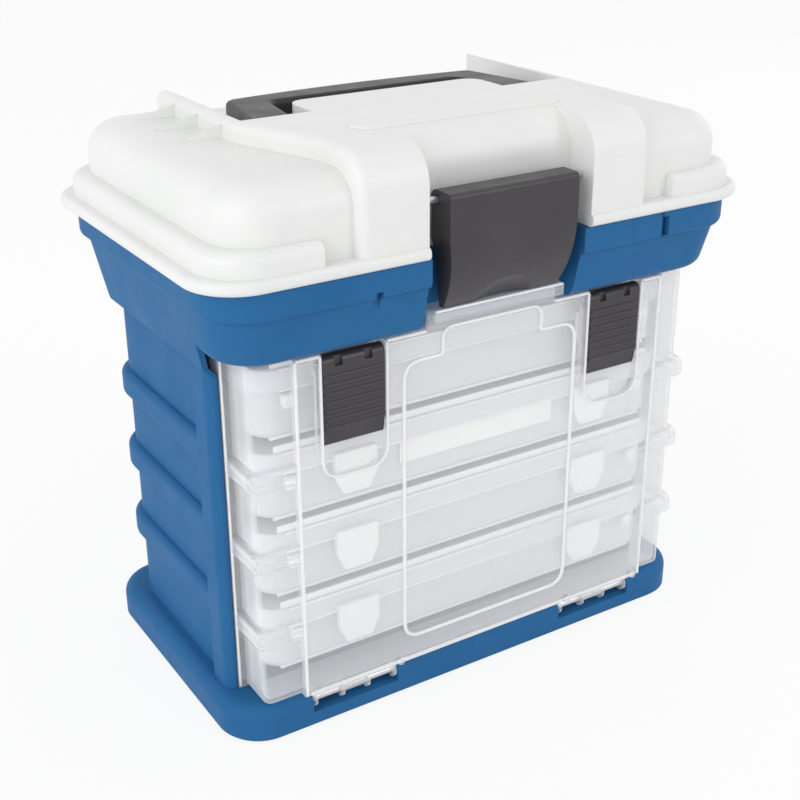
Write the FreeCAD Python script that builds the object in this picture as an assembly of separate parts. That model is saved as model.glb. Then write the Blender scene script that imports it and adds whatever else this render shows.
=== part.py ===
"""Fishing tackle cabinet: a plinth, a ribbed housing for four slide-out utility boxes behind
a clear drop-down door, and a top tub under a domed lid with a bail handle.

Units are millimetres.  +X is the width, -Y is the front, +Z is up.  The origin is the middle
of the footprint of the plinth, on the surface that the cabinet stands on.
"""
import FreeCAD
import Part

import math
import os

V = FreeCAD.Vector

# ---------------------------------------------------------------- driving dimensions
RUN_GAP = 0.5            # running clearance between parts that move past each other
SEAT_GAP = 0.3           # clearance between a moving part and the face it rests on
PIN_GAP = 0.25           # radial clearance of a bore that turns on a pin
SEAT_IN = 0.4            # how deep a pin's end or a ridge's foot is set into its part

# plinth
PLINTH_W = 248.0
PLINTH_D = 143.0
PLINTH_H = 17.0
PLINTH_CORNER = 20.0
PLINTH_EDGE = 6.0        # rounding of the top edge
PLINTH_FOOT_EDGE = 1.5
PLINTH_WALL = 2.6
PLINTH_RIB = 2.0
PLINTH_RIB_FOOT = 12.0   # underside of the ribs
PLINTH_RIBS = 5

# housing
WALL = 2.5
HOUSING_W = 230.0        # over the plain side walls
HOUSING_BACK = 59.5      # y of the rear face
HOUSING_CORNER = 18.0
HOUSING_DROP = 6.8       # the side walls end this far under the top of the box stack
PILLAR_PROUD = 3.4       # pillar and ribs stand this far outside the wall
PILLAR_REAR = -36.0
PILLAR_FRONT = -50.5
PILLAR_ROUND = 5.5
RIB_ROUND = 3.2
BACK_SEAM = 96.0         # x of the joints between the back panel and the side panels

# utility boxes
BOX_COUNT = 4
BOX_PITCH = 36.3
BOX_W = 213.0            # over the lid rim
BOX_D = 119.0            # over the lid rim
BOX_H = 31.0
BOX_RIM_STEP = 3.0       # the tray stands this far inside the lid rim
BOX_CORNER = 12.0
BOX_WALL = 1.3
BOX_FLOOR = 1.4
BOX_LID_T = 1.3
BOX_RIM_H = 9.0          # height of the lid rim
BOX_RIM_DROP = 1.0       # the rim starts this far under the box's top
BOX_FOOT_EDGE = 2.0
BOX_TOP_EDGE = 1.1
BOX_BOTTOM_Z = 27.9      # underside of the lowest box
BOX_FRONT_GAP = 4.0      # between the door's outer zones and the boxes
BOX_LATCH_W = 20.0
BOX_LATCH_H = 19.0
BOX_LATCH_X = 62.0
BOX_LATCH_T = 2.4
BOX_LATCH_TAPER_H = 7.6  # the shield narrows below this height
BOX_LATCH_FOOT_W = 12.4
BOX_LATCH_ROOT_W = 10.0  # foot that joins the latch to the tray
BOX_LATCH_ROOT_Z = (0.5, 4.0)
BOX_LATCH_Z = 6.0        # foot of the latch over the box's underside
BOX_PIN_R = 0.75
BOX_ROWS = 2             # rows of compartments, front to back
BOX_COLUMNS = 4
DIVIDER_T = 1.0
DIVIDER_H = 24.0
DIVIDER_STEP = 1.0       # cross dividers are this much lower

# ribs and runners, at the height of the boxes' lid rims
RIB_H = 13.0
RIB_RISE = 1.5           # ribs sit this far above the middle of the lid rim
RUNNER_T = 2.0

# tub
TUB_GAP = 7.2            # from the top of the box stack up to the underside at the front
TUB_FLARE_W = 242.4
TUB_FLARE_H = 20.0       # from the underside up to the shoulder
TUB_FRONT = -78.0
TUB_BACK = 65.2
TUB_SHOULDER_W = 249.8
TUB_SHOULDER_FRONT = -83.0
TUB_SHOULDER_BACK = 69.9
LIP_W = 255.0
LIP_H = 12.2
LIP_FRONT = -85.5
LIP_BACK = 74.5
LIP_EDGE = 3.2
SKIRT_H = 7.0            # the sides and the back reach this far below the front
LEDGE_H = 5.0            # slope from the skirt's foot in to the side walls
TUB_WALL = 2.5
TUB_FLOOR = 2.5
TUB_CORNER = 20.0
TUB_BOTTOM_EDGE = 6.0
TUB_SLOT_W = 3.0         # small upright slots in the front of the tub
TUB_SLOT_H = 8.6
TUB_SLOT_Y = -81.8
TUB_SLOTS = ((-62.5, -5.0), (80.6, 1.5))    # x, and the foot's height over the shoulder
TUB_PANEL_X = (63.0, 80.6)   # shallow sunk field beside the right slot
TUB_PANEL_DEEP = 1.0
TUB_BAY_W = 75.0         # bay in the tub's front for the main latch

# lid
LID_W = 265.0
LID_FRONT = -87.8
LID_BACK = 80.4
LID_CORNER = 23.0
BEAD_H = 5.4
BEAD_ROUND = 2.4
TIER_W = 255.0
TIER_FRONT = -85.5
TIER_BACK = 75.5
TIER_H = 15.0            # over the lid's seat
TIER_EDGE = 4.5
TIER_END = 84.0          # the tier stops at this x on the front
DOME_W = 241.0
DOME_FRONT = -81.0
DOME_BACK = 70.0
DOME_H = 36.5
DOME_CORNER = 19.0
DOME_EDGE = 13.0
BODY_W = 139.0           # raised middle of the lid, at the front
BODY_REAR_W = 169.0
BODY_FRONT = -86.2
BODY_H = 44.5
BODY_EDGE = 16.0
BODY_SIDE_EDGE = 4.0
BODY_KNEE_FRONT = -58.0
BODY_KNEE_REAR = -13.0
BODY_KNEE_ROUND = 10.0
RIDGE_BACK = 62.0
LID_WALL = 2.4
PAD_W = 100.0
PAD_D = 16.0
PAD_Y = -46.0
PAD_H = 1.0
PAD_EDGE = 0.8
LOUVER_COUNT = 3
LOUVER_PITCH = 23.5
LOUVER_Y = -4.5
LOUVER_ROOT = 3.0        # starts this far inside the ridge
LOUVER_REACH = 23.0
LOUVER_TIP = 4.5         # the tip lies this far behind the front corner
LOUVER_LENGTH = 23.0
LOUVER_RISE = 7.0
LOUVER_DEEP = 8.0
LOUVER_SUNK = 0.6        # the low edges lie this far under the dome's top
HANDLE_BAY_W = 160.0     # room between the ridges for the handle
HANDLE_BAY_GAP = 2.2     # in front of the folded handle
BOSS_R = 4.2             # pivot bosses on the ridges
BOSS_GAP = 0.6

# handle
HANDLE_OUTER = 64.0      # half width over the grip end
HANDLE_FRONT_OUTER = 73.0
HANDLE_ARM_W = 16.0
HANDLE_FRONT_ARM_W = 19.0
HANDLE_GRIP_D = 12.5
HANDLE_BACK = 38.0
HANDLE_SUNK = 2.0        # top of the folded handle under the top of the lid
HANDLE_T = 9.0
HANDLE_PIVOT_Y = -5.0
HANDLE_PIN_R = 2.2
HANDLE_PIN_IN = 3.0      # the pins end this far inside the arms
HANDLE_PIN_WALL = 1.0    # and this far inside the ridges
HANDLE_CORNER = 6.0
HANDLE_EDGE = 2.4
HANDLE_FLOOR_GAP = 0.8
HANDLE_BOW = 3.8         # the grip's rear edge bulges this far
TONGUE_W = 96.0
TONGUE_BACK = 11.0
TONGUE_CORNER = 8.0

# main latch
LATCH_W = 62.0
LATCH_FOOT_W = 57.0
LATCH_RISE = 24.8        # top over the tub's rim
LATCH_FRONT = -87.8
LATCH_BACK = -74.2
LATCH_HEAD_H = 9.5
LATCH_BEND = 22.8        # the front plate starts to curve this far under the top
LATCH_EDGE = 2.2
LATCH_BACK_EDGE = 3.6
LATCH_T = 2.6
LATCH_FOOT_BACK = 8.4    # the foot of the front plate curves back this far
LATCH_PIN_R = 1.7
LATCH_PIN_INSET = 4.0
LATCH_BAY_W = 78.8       # bay in the lid's front
LATCH_BAY_Y = -71.0
LATCH_BAY_ROUND = 14.0   # rounding of the lid's top above the latch
LATCH_TOOTH_W = 24.0
LATCH_TOOTH_H = 2.6
LATCH_TOOTH_UP = 0.6     # over the latch's foot
LATCH_TOOTH_GAP = 5.0    # between the tooth and the wall behind it
LATCH_FOOT_GAP = 0.9     # over the door's tab
CHEEK_DROP = 4.0         # the latch's side walls keep their depth this far under the tub's rim
THUMB_W = 24.0
THUMB_DEEP = 1.5
THUMB_UP = 1.0

# door
DOOR_W = 227.0           # over the frame
DOOR_T = 1.8
DOOR_FRAME_BACK = -43.0
DOOR_FRAME_Y = -51.0     # front of the frame flange
DOOR_FRAME_DROP = 1.2    # the frame ends this far under the door's top
DOOR_BULGE_W = 220.0
DOOR_WING_Y = -70.0      # front of the two outer zones
DOOR_FRONT_Y = -74.0     # front of the middle zone
DOOR_STEP_X = 92.6
DOOR_BULGE_CORNER = 4.0
DOOR_FOOT_ROUND = 2.4
DOOR_TOP_GAP = 1.4       # between the door and the underside of the tub
DOOR_FLOOR_GAP = 0.6
DOOR_BEAD_H = 9.4
DOOR_BEAD_PROUD = 3.2
DOOR_BEAD_ROUND = 2.6
DOOR_BEAD_BACK = 0.4     # the beads stay this far behind the door's front
DOOR_NUB_R = 1.8         # rounded nubs over the ends of the hinges
DOOR_NUB_L = 3.6
DOOR_NUB_UP = 2.6
DOOR_TAB_W = 64.4
DOOR_TAB_RISE = 9.4      # top of the tab over the door's top
DOOR_TAB_Y = -79.6       # front of the tab
DOOR_TAB_LIP = 5.0
DOOR_TAB_BACK = 4.5      # the tab's shelf ends this far behind the door's front
DOOR_TAB_ROOM = 1.5      # room in the tub around the tab
PANEL_W = 89.2           # raised outline on the door's front
PANEL_FOOT = 12.4        # its foot over the door's underside
PANEL_DROP = 10.8        # its top under the door's top
PANEL_CORNER = 9.0
PANEL_LINE = 1.8
PANEL_PROUD = 0.7
ARCH_W = 51.8            # the outline's raised middle
ARCH_RISE = 0.6          # over the door's top
ARCH_CORNER = 6.0
DOOR_SILL_Y = -54.2      # the bottom wall of the door ends here
HINGE_Y = -67.5
HINGE_Z = 12.5
HINGE_FRONT_Y = -70.6    # front of the hinge's plates
HINGE_WEB_T = 1.0
HINGE_PIN_R = 2.0
HINGE_INNER_X = 46.8
HINGE_PLATE_XS = (0.0, 13.6, 26.4, 40.0)
HINGE_PLATE_T = 1.3
HINGE_EYE_R = 3.9
HINGE_POCKET_GAP = 0.8
HINGE_POCKET_Z = 7.6
HINGE_POCKET_BACK = -58.0

# door latches
CATCH_W = 28.2
CATCH_X = 66.3
CATCH_BARREL_R = 3.4
CATCH_AXIS_Y = -70.3
CATCH_DROP = 5.0         # pivot under the door's top
CATCH_REACH = 34.6       # from the pivot down to the foot
CATCH_ROOM_H = 14.0      # finger room in the door under the latch
CATCH_ROOM_CORNER = 9.0
CATCH_WALL = 1.4
CATCH_T = 2.4
CATCH_PIN_R = 1.1
CATCH_RIDGES = 7
CATCH_RIDGE_R = 0.8
CATCH_RIDGE_PITCH = 3.7
CATCH_EAR_T = 2.4
CATCH_EAR_R = 2.6
CATCH_LIP = 1.6          # the foot curves back this far
CATCH_RIDGE_DROP = 1.6   # first ridge under the barrel
CATCH_RIDGE_IN = 0.6     # ridges stop this far inside the sides
CATCH_WINDOW_W = 3.4
CATCH_WINDOW_H = 4.2

# rear lid hinge
LID_HINGE_Y = 83.2
LID_HINGE_DROP = 1.0     # axis under the tub's rim
LID_PIN_R = 1.6
LID_KNUCKLE_R = 3.4
LID_HINGE_X = 78.0
LID_KNUCKLE_L = 12.0
LID_FOOT_H = 9.5         # foot of the tub's knuckles under the axis
LID_EAR_IN = 1.5
LID_ARM_IN = 3.0

# ---------------------------------------------------------------- derived sizes
HALF_HOUSING = HOUSING_W / 2
STACK_TOP = BOX_BOTTOM_Z + (BOX_COUNT - 1) * BOX_PITCH + BOX_H
HOUSING_TOP = STACK_TOP - HOUSING_DROP
TUB_FLARE_Z = STACK_TOP + TUB_GAP
TUB_SHOULDER_Z = TUB_FLARE_Z + TUB_FLARE_H
TUB_RIM_Z = TUB_SHOULDER_Z + LIP_H
BOX_FRONT = DOOR_WING_Y + DOOR_T + BOX_FRONT_GAP
BOX_BACK = BOX_FRONT + BOX_D
DOOR_BOTTOM_Z = PLINTH_H + DOOR_FLOOR_GAP
RIM_MID = BOX_H - BOX_RIM_H / 2 - BOX_RIM_DROP
LID_Z = TUB_RIM_Z + SEAT_GAP
TIER_TOP = LID_Z + TIER_H
DOME_TOP = LID_Z + DOME_H
BODY_TOP = LID_Z + BODY_H
HANDLE_TOP = BODY_TOP - HANDLE_SUNK
LATCH_TOP = TUB_RIM_Z + LATCH_RISE
DOOR_TOP_Z = TUB_FLARE_Z - DOOR_TOP_GAP
DOOR_TAB_Z = DOOR_TOP_Z + DOOR_TAB_RISE
LATCH_FOOT_Z = DOOR_TAB_Z + LATCH_FOOT_GAP
CATCH_AXIS_Z = DOOR_TOP_Z - CATCH_DROP
CATCH_FOOT_Z = CATCH_AXIS_Z - CATCH_REACH
LID_HINGE_Z = TUB_RIM_Z - LID_HINGE_DROP
BAY_FLOOR_Z = HANDLE_TOP - HANDLE_T - HANDLE_FLOOR_GAP
PIVOT_Z = HANDLE_TOP - HANDLE_T / 2
LATCH_AXIS_Y = LATCH_BACK - LATCH_PIN_INSET
LATCH_AXIS_Z = LATCH_TOP - LATCH_PIN_INSET


def box_floor_z(level):
    """Underside of a utility box; level 1 is the top one."""
    return BOX_BOTTOM_Z + (BOX_COUNT - level) * BOX_PITCH


def rim_mid_z(level):
    """Middle height of a utility box's lid rim."""
    return box_floor_z(level) + RIM_MID


# ---------------------------------------------------------------- geometry helpers
def block(x0, x1, y0, y1, z0, z1):
    """Box from its low and high corners."""
    return Part.makeBox(x1 - x0, y1 - y0, z1 - z0, V(x0, y0, z0))


def round_wire(x0, x1, y0, y1, r, z):
    """Rounded rectangle as a closed wire at height z."""
    q = r * (1 - math.sqrt(0.5))
    lines = [((x0 + r, y0), (x1 - r, y0)), ((x1, y0 + r), (x1, y1 - r)),
             ((x1 - r, y1), (x0 + r, y1)), ((x0, y1 - r), (x0, y0 + r))]
    mids = [(x1 - q, y0 + q), (x1 - q, y1 - q), (x0 + q, y1 - q), (x0 + q, y0 + q)]
    edges = []
    for i, (a, b) in enumerate(lines):
        nxt = lines[(i + 1) % 4][0]
        edges.append(Part.LineSegment(V(a[0], a[1], z), V(b[0], b[1], z)).toShape())
        edges.append(Part.Arc(V(b[0], b[1], z), V(mids[i][0], mids[i][1], z),
                              V(nxt[0], nxt[1], z)).toShape())
    return Part.Wire(edges)


def slab(x0, x1, y0, y1, r, z0, z1):
    """Upright prism on a rounded rectangle."""
    return Part.Face(round_wire(x0, x1, y0, y1, r, z0)).extrude(V(0, 0, z1 - z0))


def taper(low, high):
    """Ruled solid between two rounded rectangles, each (x0, x1, y0, y1, r, z)."""
    return Part.makeLoft([round_wire(*low), round_wire(*high)], True, True)


def profile_x(points, x0, x1):
    """Prism along X on a closed outline of (y, z) points."""
    wire = Part.makePolygon([V(x0, y, z) for y, z in points + points[:1]])
    return Part.Face(wire).extrude(V(x1 - x0, 0, 0))


def profile_z(points, z0, z1):
    """Upright prism on a closed outline of (x, y) points."""
    wire = Part.makePolygon([V(x, y, z0) for x, y in points + points[:1]])
    return Part.Face(wire).extrude(V(0, 0, z1 - z0))


def rod_x(x0, x1, y, z, r):
    """Round bar along X."""
    return Part.makeCylinder(r, x1 - x0, V(x0, y, z), V(1, 0, 0))


def fuse(parts):
    """One solid from several that overlap or touch."""
    return parts[0].fuse(parts[1:]).removeSplitter() if len(parts) > 1 else parts[0]


def edges_where(shape, test):
    """Edges whose middle passes the test, which gets x, y, z."""
    found = []
    for edge in shape.Edges:
        mid = edge.valueAt((edge.FirstParameter + edge.LastParameter) / 2)
        if test(mid.x, mid.y, mid.z, edge):
            found.append(edge)
    return found


def is_upright(edge):
    """True for an edge that runs along Z."""
    box = edge.BoundBox
    return box.ZLength > 1.0 and box.XLength < 0.01 and box.YLength < 0.01


def level_edges(shape, z, tol=0.01):
    """Edges that lie flat at height z."""
    return [e for e in shape.Edges if abs(e.BoundBox.ZMin - z) < tol and abs(e.BoundBox.ZMax - z) < tol]


def near(a, b, tol=0.05):
    """True where two lengths agree."""
    return abs(a - b) < tol


def mirror_x(shape):
    """The same shape on the other side of the middle plane."""
    return shape.mirror(V(0, 0, 0), V(1, 0, 0))


def both_sides(shape):
    """A shape and its mirror image."""
    return [shape, mirror_x(shape)]


def save(name, shapes):
    """Write one node; several shapes stay separate solids of it."""
    solids = []
    for shape in shapes:
        solids.extend(shape.Solids)
    body = solids[0] if len(solids) == 1 else Part.makeCompound(solids)
    body.exportStep(os.path.join("parts", name + ".step"))
    print(name, "solids", len(solids), "volume", round(sum(s.Volume for s in solids)), "valid", body.isValid())


# ---------------------------------------------------------------- plinth
def hinge_plate_spans(side):
    """X spans of the four plates of one door hinge."""
    spans = []
    for offset in HINGE_PLATE_XS:
        low = HINGE_INNER_X + offset - HINGE_PLATE_T / 2
        spans.append((low, low + HINGE_PLATE_T) if side > 0 else (-low - HINGE_PLATE_T, -low))
    return spans


def pocket_span(side):
    """X span of the plinth pocket that one door hinge turns in."""
    spans = hinge_plate_spans(side)
    low = min(s[0] for s in spans) - HINGE_POCKET_GAP
    high = max(s[1] for s in spans) + HINGE_POCKET_GAP
    return low, high


def plinth():
    """Hollow plinth with ribs under it and two hinge pockets in its front edge."""
    w, d = PLINTH_W / 2, PLINTH_D / 2
    outer = slab(-w, w, -d, d, PLINTH_CORNER, 0, PLINTH_H)
    outer = outer.makeFillet(PLINTH_EDGE, level_edges(outer, PLINTH_H))
    outer = outer.makeChamfer(PLINTH_FOOT_EDGE, level_edges(outer, 0))
    t = PLINTH_WALL
    inner = slab(-w + t, w - t, -d + t, d - t, PLINTH_CORNER - t, -1, PLINTH_H - t)
    inner = inner.makeFillet(PLINTH_EDGE - t, level_edges(inner, PLINTH_H - t))
    ribs = []
    for i in range(PLINTH_RIBS):
        x = -w + PLINTH_W * (i + 1) / (PLINTH_RIBS + 1)
        ribs.append(block(x - PLINTH_RIB / 2, x + PLINTH_RIB / 2, -d + t / 2, d - t / 2, PLINTH_RIB_FOOT, PLINTH_H - t / 2))
    cells = []
    pockets = []
    for side in (-1, 1):
        x0, x1 = pocket_span(side)
        pockets.append(block(x0, x1, -d - 1, HINGE_POCKET_BACK, HINGE_POCKET_Z, PLINTH_H + 1))
        cells.append(block(x0 - t, x1 + t, -d + t / 2, HINGE_POCKET_BACK + t, HINGE_POCKET_Z - t, PLINTH_H - t / 2))
    shell = outer.cut([inner])
    shell = shell.fuse(ribs + cells)
    pins = []
    for side in (-1, 1):
        x0, x1 = pocket_span(side)
        pins.append(rod_x(x0 - t + SEAT_IN, x1 + t - SEAT_IN, HINGE_Y, HINGE_Z, HINGE_PIN_R))
    return shell.cut(pockets + pins).removeSplitter(), pins


# ---------------------------------------------------------------- housing
def housing_outline(grow, z0, z1):
    """Prism on the housing's outline, moved outwards by grow."""
    w = HALF_HOUSING + grow
    return slab(-w, w, PILLAR_FRONT - 60, HOUSING_BACK + grow, HOUSING_CORNER + grow, z0, z1)


def rib_ring(level):
    """Round-faced horizontal rib beside the lid rim of one box."""
    z = rim_mid_z(level) + RIB_RISE
    ring = housing_outline(PILLAR_PROUD, z - RIB_H / 2, z + RIB_H / 2)
    edges = level_edges(ring, z - RIB_H / 2) + level_edges(ring, z + RIB_H / 2)
    return ring.makeFillet(RIB_ROUND, edges)


def pillars():
    """Upright front pillars of both side walls, rounded towards the door."""
    w = HALF_HOUSING + PILLAR_PROUD
    body = block(HALF_HOUSING - WALL, w, PILLAR_FRONT, PILLAR_REAR, PLINTH_H, HOUSING_TOP + 8)
    corner = edges_where(body, lambda x, y, z, e: is_upright(e) and near(x, w) and near(y, PILLAR_FRONT))
    return both_sides(body.makeFillet(PILLAR_ROUND, corner))


def door_room(z0, z1):
    """Space between the pillars that the door's frame closes into."""
    half = DOOR_W / 2 + RUN_GAP
    return block(-half, half, -200, DOOR_FRAME_BACK + RUN_GAP, z0, z1)


def housing_panels():
    """Left side panel, right side panel and back panel."""
    outer = housing_outline(0, PLINTH_H, HOUSING_TOP)
    ribs = [rib_ring(level) for level in range(2, BOX_COUNT + 1)]
    keep = block(-200, 200, PILLAR_REAR, 100, 0, 300)
    ribs = [rib.common(keep) for rib in ribs]
    trim = block(-200, 200, -200, PILLAR_FRONT, 0, 300)
    posts = [post.common(block(-200, 200, -200, 200, 0, HOUSING_TOP)) for post in pillars()]
    body = outer.cut(trim).fuse(ribs + posts)
    body = body.cut([door_room(PLINTH_H - 1, HOUSING_TOP + 1)])
    inner = slab(-HALF_HOUSING + WALL, HALF_HOUSING - WALL, -200, HOUSING_BACK - WALL,
                 HOUSING_CORNER - WALL, PLINTH_H - 1, HOUSING_TOP + 1)
    body = body.cut([inner])
    runners = []
    for level in range(1, BOX_COUNT + 1):
        top = box_floor_z(level) + BOX_H - BOX_RIM_H - BOX_RIM_DROP - SEAT_GAP
        inside = BOX_W / 2 - BOX_RIM_STEP + RUN_GAP
        rail = block(inside, HALF_HOUSING - WALL / 2, DOOR_FRAME_BACK + 2 * RUN_GAP, HOUSING_BACK - HOUSING_CORNER,
                     top - RUNNER_T, top)
        runners += both_sides(rail)
    body = body.fuse(runners).removeSplitter()
    right = body.common(block(BACK_SEAM, 200, -200, 200, 0, 300))
    left = body.common(block(-200, -BACK_SEAM, -200, 200, 0, 300))
    back = body.common(block(-BACK_SEAM, BACK_SEAM, 0, 200, 0, 300))
    return left, right, back


# ---------------------------------------------------------------- tub
def tub_line(z):
    """Half width, front, back and corner radius of the flared wall at height z."""
    s = (z - TUB_FLARE_Z) / TUB_FLARE_H
    return (TUB_FLARE_W / 2 + s * (TUB_SHOULDER_W - TUB_FLARE_W) / 2, TUB_FRONT + s * (TUB_SHOULDER_FRONT - TUB_FRONT),
            TUB_BACK + s * (TUB_SHOULDER_BACK - TUB_BACK), TUB_CORNER + s * 2)


def tub_flare(z0, z1, inset):
    """Flared wall between two heights, moved inwards by inset."""
    ends = []
    for z in (z0, z1):
        half, front, back, r = tub_line(z)
        ends.append((-half + inset, half - inset, front + inset, back - inset, r - inset, z))
    return taper(*ends)


def tub_neck(inset):
    """Slope from the flared sides and back in to the side walls, and the wall under it."""
    foot_z = TUB_FLARE_Z - SKIRT_H
    ledge_z = foot_z - LEDGE_H
    half, front, back, r = tub_line(foot_z)
    wall, wall_back = HALF_HOUSING - inset, HOUSING_BACK - inset
    low = HOUSING_TOP - (1 if inset else 0)
    ledge = taper((-wall, wall, front, wall_back, HOUSING_CORNER - inset, ledge_z),
                  (-half + inset, half - inset, front, back - inset, r - inset, foot_z))
    neck = slab(-wall, wall, front, wall_back, HOUSING_CORNER - inset, low, ledge_z)
    keep = block(-200, 200, -200 if inset else PILLAR_FRONT, 200, 0, 300)
    return [ledge.common(keep), neck.common(keep)]


def top_tub():
    """Open tub with a flared foot, a front bay for the main latch and a stepped upper lip."""
    hl = LIP_W / 2
    foot_z = TUB_FLARE_Z - SKIRT_H
    main = tub_flare(foot_z, TUB_SHOULDER_Z, 0)
    main = main.cut([block(-200, 200, -200, PILLAR_FRONT, 0, TUB_FLARE_Z)])
    main = main.makeFillet(TUB_BOTTOM_EDGE, [e for e in level_edges(main, TUB_FLARE_Z) if e.BoundBox.YMin < PILLAR_FRONT - 1])
    lip = slab(-hl, hl, LIP_FRONT, LIP_BACK, TUB_CORNER + 3, TUB_SHOULDER_Z, TUB_RIM_Z)
    lip = lip.makeFillet(LIP_EDGE, level_edges(lip, TUB_SHOULDER_Z))
    t = TUB_WALL
    outer = main.fuse([lip] + tub_neck(0) + [p.common(block(-200, 200, -200, 200, HOUSING_TOP, TUB_FLARE_Z))
                                              for p in pillars()])
    floor = TUB_FLARE_Z + TUB_FLOOR
    well = tub_flare(floor, TUB_SHOULDER_Z, t)
    well = well.makeFillet(TUB_BOTTOM_EDGE - t, level_edges(well, floor))
    hs, shoulder_front, shoulder_back, r = tub_line(TUB_SHOULDER_Z)
    well = well.fuse([slab(-hs + t, hs - t, shoulder_front + t, shoulder_back - t, r - t, TUB_SHOULDER_Z, TUB_RIM_Z + 1)])
    bay = TUB_BAY_W / 2
    bay_y = LATCH_BAY_Y
    well = well.cut([block(-bay - t, bay + t, -200, bay_y + t, 0, 300)])
    inside = [tub_flare(foot_z, TUB_FLARE_Z, t)] + tub_neck(t)
    recess = block(-bay, bay, -200, bay_y, 0, 300)
    doorway = door_room(HOUSING_TOP - 1, TUB_FLARE_Z)
    room_y, room_z = DOOR_FRONT_Y + DOOR_TAB_BACK + DOOR_TAB_ROOM, DOOR_TAB_Z + DOOR_TAB_ROOM
    tab_room = block(-bay, bay, -200, room_y, 0, room_z)
    tab_seat = block(-bay - t, bay + t, TUB_FRONT + t, room_y + t, TUB_FLARE_Z + 1, room_z + t)
    body = outer.cut([well, doorway] + inside).fuse([tab_seat.common(outer)]).cut([recess, tab_room])
    slots = []
    for x, rise in TUB_SLOTS:
        foot = TUB_SHOULDER_Z + rise
        slots.append(block(x, x + TUB_SLOT_W, -200, TUB_SLOT_Y, foot, foot + TUB_SLOT_H))
    slots.append(block(TUB_PANEL_X[0], TUB_PANEL_X[1], -200, LIP_FRONT + TUB_PANEL_DEEP, TUB_SHOULDER_Z - 1, 300))
    body = body.cut(slots)
    knuckles = []
    for x in hinge_knuckle_xs():
        ear = block(x, x + LID_KNUCKLE_L, LIP_BACK - LID_EAR_IN, LID_HINGE_Y, LID_HINGE_Z - LID_KNUCKLE_R, LID_HINGE_Z)
        foot = profile_x([(LIP_BACK - LID_EAR_IN, LID_HINGE_Z - LID_FOOT_H), (LID_HINGE_Y, LID_HINGE_Z - LID_KNUCKLE_R),
                          (LIP_BACK - LID_EAR_IN, LID_HINGE_Z - LID_KNUCKLE_R)], x, x + LID_KNUCKLE_L)
        knuckles += [ear.fuse([rod_x(x, x + LID_KNUCKLE_L, LID_HINGE_Y, LID_HINGE_Z, LID_KNUCKLE_R), foot])]
    body = body.fuse(knuckles)
    body = body.cut([rod_x(x - 1, x + LID_KNUCKLE_L + 1, LID_HINGE_Y, LID_HINGE_Z, LID_PIN_R)
                     for x in hinge_knuckle_xs()])
    return body.removeSplitter()


def hinge_knuckle_xs():
    """Left ends of the tub's knuckles of the rear hinge."""
    xs = []
    for side in (-1, 1):
        xs += [side * LID_HINGE_X - LID_KNUCKLE_L * 1.5 - RUN_GAP, side * LID_HINGE_X + LID_KNUCKLE_L / 2 + RUN_GAP]
    return xs


# ---------------------------------------------------------------- lid
def body_outline():
    """Plan of the raised middle of the lid: wide at the rear, narrow in front."""
    front, rear = BODY_W / 2, BODY_REAR_W / 2
    right = [(front, BODY_FRONT), (front, BODY_KNEE_FRONT), (rear, BODY_KNEE_REAR), (rear, RIDGE_BACK)]
    left = [(-x, y) for x, y in reversed(right)]
    return right + left


def lid_outer():
    """Outside of the lid before the recesses are taken out."""
    w = LID_W / 2
    bead = slab(-w, w, LID_FRONT, LID_BACK, LID_CORNER, LID_Z, LID_Z + BEAD_H)
    bead = bead.makeFillet(BEAD_ROUND, level_edges(bead, LID_Z) + level_edges(bead, LID_Z + BEAD_H))
    t = TIER_W / 2
    tier = slab(-t, t, TIER_FRONT, TIER_BACK, LID_CORNER - 2, LID_Z + 1, TIER_TOP)
    tier = tier.makeFillet(TIER_EDGE, level_edges(tier, TIER_TOP))
    tier = tier.cut([block(-TIER_END, TIER_END, -200, DOME_FRONT + LID_WALL, LID_Z + BEAD_H - 1.0, 300)])
    d = DOME_W / 2
    dome = slab(-d, d, DOME_FRONT, DOME_BACK, DOME_CORNER, LID_Z + 1, DOME_TOP)
    dome = dome.makeFillet(DOME_EDGE, level_edges(dome, DOME_TOP))
    body = profile_z(body_outline(), LID_Z + 1, BODY_TOP)
    knees = edges_where(body, lambda x, y, z, e: is_upright(e) and (near(y, BODY_KNEE_FRONT) or near(y, BODY_KNEE_REAR)))
    body = body.makeFillet(BODY_KNEE_ROUND, knees)
    body = body.cut([front_round()])
    tops = edges_where(body, lambda x, y, z, e: z > BODY_TOP - 0.3 and y > BODY_FRONT + BODY_EDGE and y < RIDGE_BACK - 1)
    corners = edges_where(body, lambda x, y, z, e: y < BODY_FRONT + BODY_EDGE - 1 and near(abs(x), BODY_W / 2)
                          and e.BoundBox.XLength < 0.1)
    body = body.makeFillet(BODY_SIDE_EDGE, corners + tops)
    return bead, tier, dome, body


def front_round():
    """Tool that rounds the upper front edge of the lid's raised middle."""
    y0, z0, r = BODY_FRONT, BODY_TOP, BODY_EDGE
    corner = block(-200, 200, y0 - 5, y0 + r, z0 - r, z0 + 5)
    return corner.cut([rod_x(-201, 201, y0 + r, z0 - r, r)])


def handle_bay(grow):
    """Room in the lid that the folded handle lies in, open to the rear."""
    outer = HANDLE_BAY_W / 2 + grow
    front = HANDLE_PIVOT_Y - HANDLE_T / 2 - HANDLE_BAY_GAP - grow
    bay = block(-outer, outer, front, 200, BAY_FLOOR_Z - grow, 300)
    tongue = block(-TONGUE_W / 2 + grow, TONGUE_W / 2 - grow, front - 1, TONGUE_BACK - grow, 0, 301)
    rear = edges_where(tongue, lambda x, y, z, e: is_upright(e) and near(y, TONGUE_BACK - grow))
    return bay.cut([tongue.makeFillet(TONGUE_CORNER - grow, rear)])


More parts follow.
